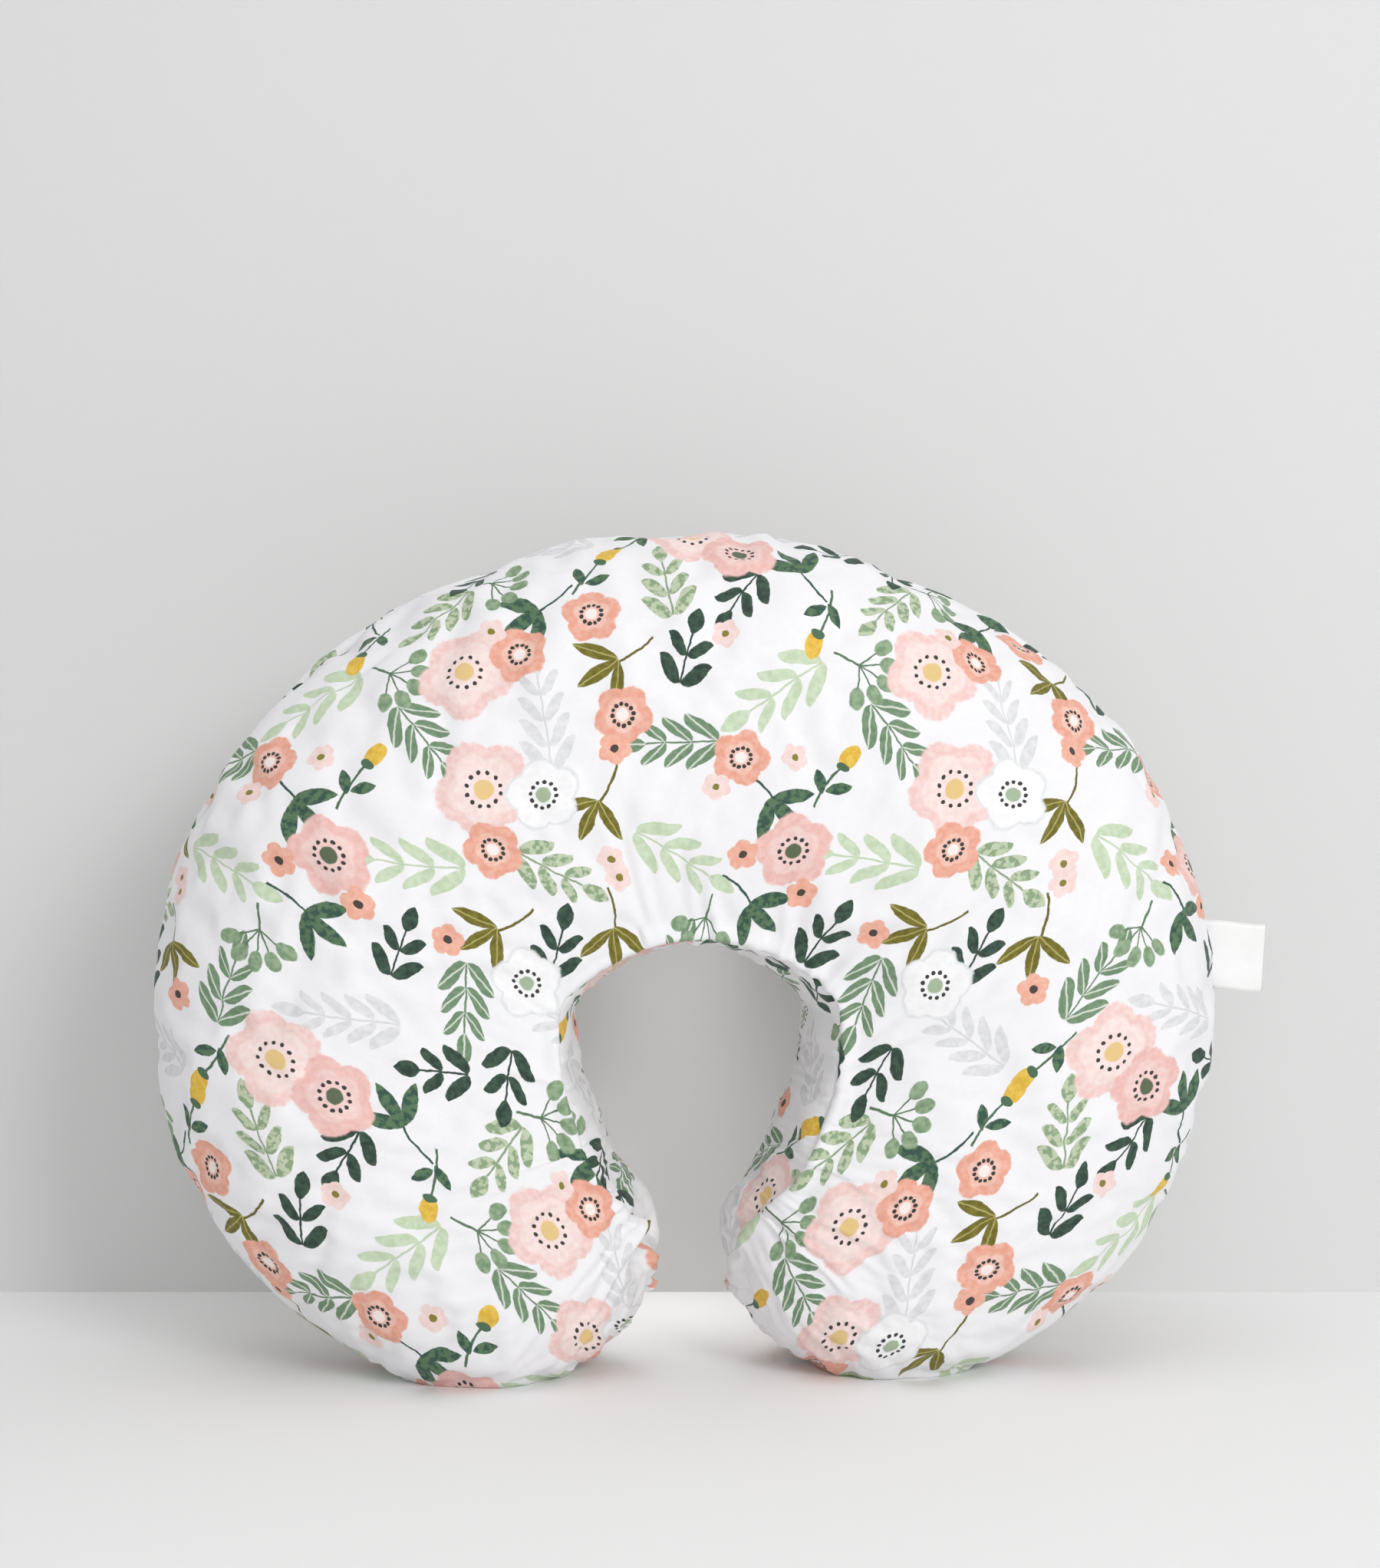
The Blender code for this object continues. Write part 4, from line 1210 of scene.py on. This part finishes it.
def makeSlider():
    frameAt = zipFrame(zipShape["parkAngle"])
    mesh = bmesh.new()
    block(mesh, (0.0120, 0.0090, 0.0012), (0.0, 0.0, 0.0017), 0.00045, 0.72)
    block(mesh, (0.0120, 0.0090, 0.0010), (0.0, 0.0, -0.0033), 0.0004, 0.72)
    block(mesh, (0.0030, 0.0010, 0.0048), (0.0037, 0.0, -0.0008), 0.0002)
    for sign in (-1, 1):
        block(mesh, (0.0086, 0.0007, 0.0009), (-0.0012, sign * 0.00405, 0.0009), 0.0002)
    # the bridge is a bar swung over from one end to the other
    ring = bmesh.ops.create_circle(mesh, cap_ends=True, segments=12, radius=0.0006)["verts"]
    bmesh.ops.transform(mesh, verts=ring, matrix=Matrix.Translation((-0.0036, 0.0, 0.0021)))
    face = [f for f in ring[0].link_faces if all(v in ring for v in f.verts)]
    bmesh.ops.spin(mesh, geom=ring + [e for e in {e for v in ring for e in v.link_edges}] + face,
                   cent=(0.0, 0.0, 0.0021), axis=(0.0, 1.0, 0.0), dvec=(0, 0, 0),
                   angle=math.radians(180), steps=16, use_duplicate=False)
    arch = {v for v in mesh.verts if v.co.z > 0.0021 and abs(v.co.y) < 0.0009 and v.is_valid}
    for vert in arch:
        if vert.co.z > 0.0024:
            vert.co.z = 0.0021 + (vert.co.z - 0.0021) * 0.83
    bmesh.ops.recalc_face_normals(mesh, faces=mesh.faces[:])
    bmesh.ops.transform(mesh, verts=mesh.verts, matrix=frameAt)
    slider = finishPiece(mesh, "zipSlider", [zipNickel])
    settlePiece(slider, "slider", "zip_slider")
    return frameAt


def makePullTab(frameAt):
    mesh = bmesh.new()
    bar = bmesh.ops.create_cone(mesh, cap_ends=True, segments=16, radius1=0.00045, radius2=0.00045,
                                depth=0.0056)["verts"]
    bmesh.ops.transform(mesh, verts=bar, matrix=Matrix.Translation((0, 0, 0.0033)) @ Matrix.Rotation(
        math.radians(90), 4, "X"))
    for sign in (-1, 1):
        block(mesh, (0.0064, 0.0013, 0.0009), (-0.0029, sign * 0.00215, 0.0033), 0.0002)
    made = bmesh.ops.create_cube(mesh, size=1.0)["verts"]
    bmesh.ops.scale(mesh, verts=made, vec=(0.0184, 0.0056, 0.0009))
    bmesh.ops.translate(mesh, verts=made, vec=(-0.0148, 0.0, 0.0033))
    corners = [edge for edge in {e for v in made for e in v.link_edges}
               if all(v.co.x < -0.0239 for v in edge.verts) and abs(edge.verts[0].co.z - edge.verts[1].co.z) > 0.0005]
    bmesh.ops.bevel(mesh, geom=corners, offset=0.0026, segments=8, profile=0.5, affect="EDGES", material=-1)
    flats = [face for face in mesh.faces if abs(face.normal.z) > 0.9 and face.calc_area() > 0.00006]
    bmesh.ops.inset_individual(mesh, faces=flats, thickness=0.0008, depth=-0.00015)
    bmesh.ops.recalc_face_normals(mesh, faces=mesh.faces[:])
    bmesh.ops.transform(mesh, verts=mesh.verts, matrix=frameAt)
    tab = finishPiece(mesh, "zipPullTab", [zipNickel])
    tab.data.set_sharp_from_angle(angle=math.radians(35))
    settlePiece(tab, "pull_tab", "zip_pull_tab")


def makeLabels():
    for name, node, start, end in (("coverCareLabel", "cover_care_label", -30.0, -24.0),
                                   ("casingLabel", "casing_label", 24.0, 30.0)):
        def place(i, j):
            angle = start + (end - start) * i / 12
            share = (61.2 + (86.8 - 61.2) * j / 16) / 90.0 * coverShape["outerShare"]
            radius, rise, _ = panelProfile(angle, share)
            detail = panelDetail(angle, share, radius, True)
            turn = math.radians(angle)
            outward = Vector((math.sin(turn) * 0.6, 0.8, math.cos(turn) * 0.6)).normalized()
            point = Vector((middle.x + math.sin(turn) * radius, rise, middle.z + math.cos(turn) * radius))
            return point + outward * (detail - 0.0019) + wrinkleAt("back", angle, share)

        mesh, _ = gridMesh(12, 16, place, False)
        area = sum(face.calc_area() for face in mesh.faces)
        bmesh.ops.solidify(mesh, geom=mesh.faces[:], thickness=0.00025)
        label = finishPiece(mesh, name, [labelCloth])
        settlePiece(label, "pillow", node)
        area / 0.0215


makeTapes()
makeChains()
makeStops()
makePullTab(makeSlider())
makeLabels()
print("zip, tag and labels made")

# Stage

direction = viewDirection()
across = Vector((direction.y, -direction.x, 0.0))


def clearFromBehind(material):
    # the wall hides nothing in a view from its other side
    tree = material.node_tree
    output = next(node for node in tree.nodes if node.type == "OUTPUT_MATERIAL")
    facing = tree.nodes.new("ShaderNodeNewGeometry").outputs["Backfacing"]
    mix = tree.nodes.new("ShaderNodeMixShader")
    source = output.inputs["Surface"].links[0].from_socket
    tree.links.new(facing, mix.inputs[0])
    tree.links.new(source, mix.inputs[1])
    tree.links.new(tree.nodes.new("ShaderNodeBsdfTransparent").outputs[0], mix.inputs[2])
    tree.links.new(mix.outputs[0], output.inputs["Surface"])


def makeStage():
    wallMesh = bmesh.new()
    bmesh.ops.create_grid(wallMesh, x_segments=1, y_segments=1, size=3.0)
    turn = Matrix.Rotation(math.radians(90), 4, "X")
    bmesh.ops.transform(wallMesh, matrix=turn, verts=wallMesh.verts)
    bmesh.ops.rotate(wallMesh, matrix=Matrix.Rotation(-math.radians(stageLook["yaw"]), 4, "Z"), verts=wallMesh.verts)
    shift = Vector((middle.x, 0.0, 3.0)) + direction * stageLook["wallDistance"]
    bmesh.ops.translate(wallMesh, verts=wallMesh.verts, vec=shift)
    floorMesh = bmesh.new()
    bmesh.ops.create_grid(floorMesh, x_segments=1, y_segments=1, size=4.0)
    for name, mesh, colour in (("wall", wallMesh, "wallColour"), ("floor", floorMesh, "floorColour")):
        material, shader, start = newMaterial(name, 0.9)
        coordinates = start.node("ShaderNodeTexCoord", None, None, 3)
        patch = coordinates.noise(3.0, 2.0)
        base = tone(stageLook[colour])
        other = tuple(c * 0.985 for c in base[:3]) + (1.0,)
        feed(shader, "Base Color", blend(patch, base, other, patch))
        if name == "wall":
            if sum((face.normal for face in mesh.faces), Vector()).dot(direction) > 0:
                bmesh.ops.reverse_faces(mesh, faces=mesh.faces)
            clearFromBehind(material)
        finishPiece(mesh, name, [material])


makeStage()


def areaLight(name, place, target, size, power, colour):
    data = bpy.data.lights.new(name, "AREA")
    data.size = size
    data.energy = power
    data.color = colour
    lamp = bpy.data.objects.new(name, data)
    lamp.location = place
    lamp.rotation_euler = (target - place).to_track_quat("-Z", "Y").to_euler()
    bpy.context.scene.collection.objects.link(lamp)
    return lamp


def makeLights():
    look = stageLook
    target = Vector((middle.x, 0.0, 0.2))
    turn, rise = math.radians(look["keyAngle"]), math.radians(look["keyRise"])
    towards = (-direction * math.cos(turn) + across * math.sin(turn)) * math.cos(rise) + Vector((0, 0, math.sin(rise)))
    areaLight("keyLight", target + towards * look["keyDistance"], target, look["keySize"], look["keyPower"],
              (1.0, 1.0, 1.0))
    areaLight("fillLight", target - direction * 1.5 + Vector((0.0, 0.0, 0.25)), target, look["fillSize"],
              look["fillPower"], (1.0, 1.0, 1.0))
    back = areaLight("backLight", Vector((middle.x, 0.135, 0.24)), Vector((middle.x, 0.125, 0.0)), look["backSize"],
                     look["backPower"], (1.0, 1.0, 1.0))       # hidden behind the arch, lifts the gap between the legs
    back.visible_camera = False
    back.data.spread = math.radians(look["backSpread"])
    areaLight("topLight", target - direction * 0.9 + Vector((0.0, 0.0, 2.6)), target, look["topSize"],
              look["topPower"], (1.0, 1.0, 1.0))
    world = bpy.data.worlds.new("studio")
    world.use_nodes = True
    background = world.node_tree.nodes["Background"]
    background.inputs[0].default_value = (*look["worldColour"], 1.0)
    background.inputs[1].default_value = look["worldStrength"]
    bpy.context.scene.world = world


makeLights()


def makeCamera():
    look = stageLook
    data = bpy.data.cameras.new("camera")
    data.lens = look["lens"]
    data.sensor_fit = "HORIZONTAL"
    data.sensor_width = 36.0
    camera = bpy.data.objects.new("camera", data)
    place = Vector((middle.x, 0.0, look["height"])) - direction * look["distance"]
    camera.location = place
    camera.rotation_euler = direction.to_track_quat("-Z", "Y").to_euler()
    bpy.context.scene.collection.objects.link(camera)
    bpy.context.scene.camera = camera


makeCamera()
bpy.context.scene.view_settings.view_transform = "Standard"
print("stage, light and camera made")
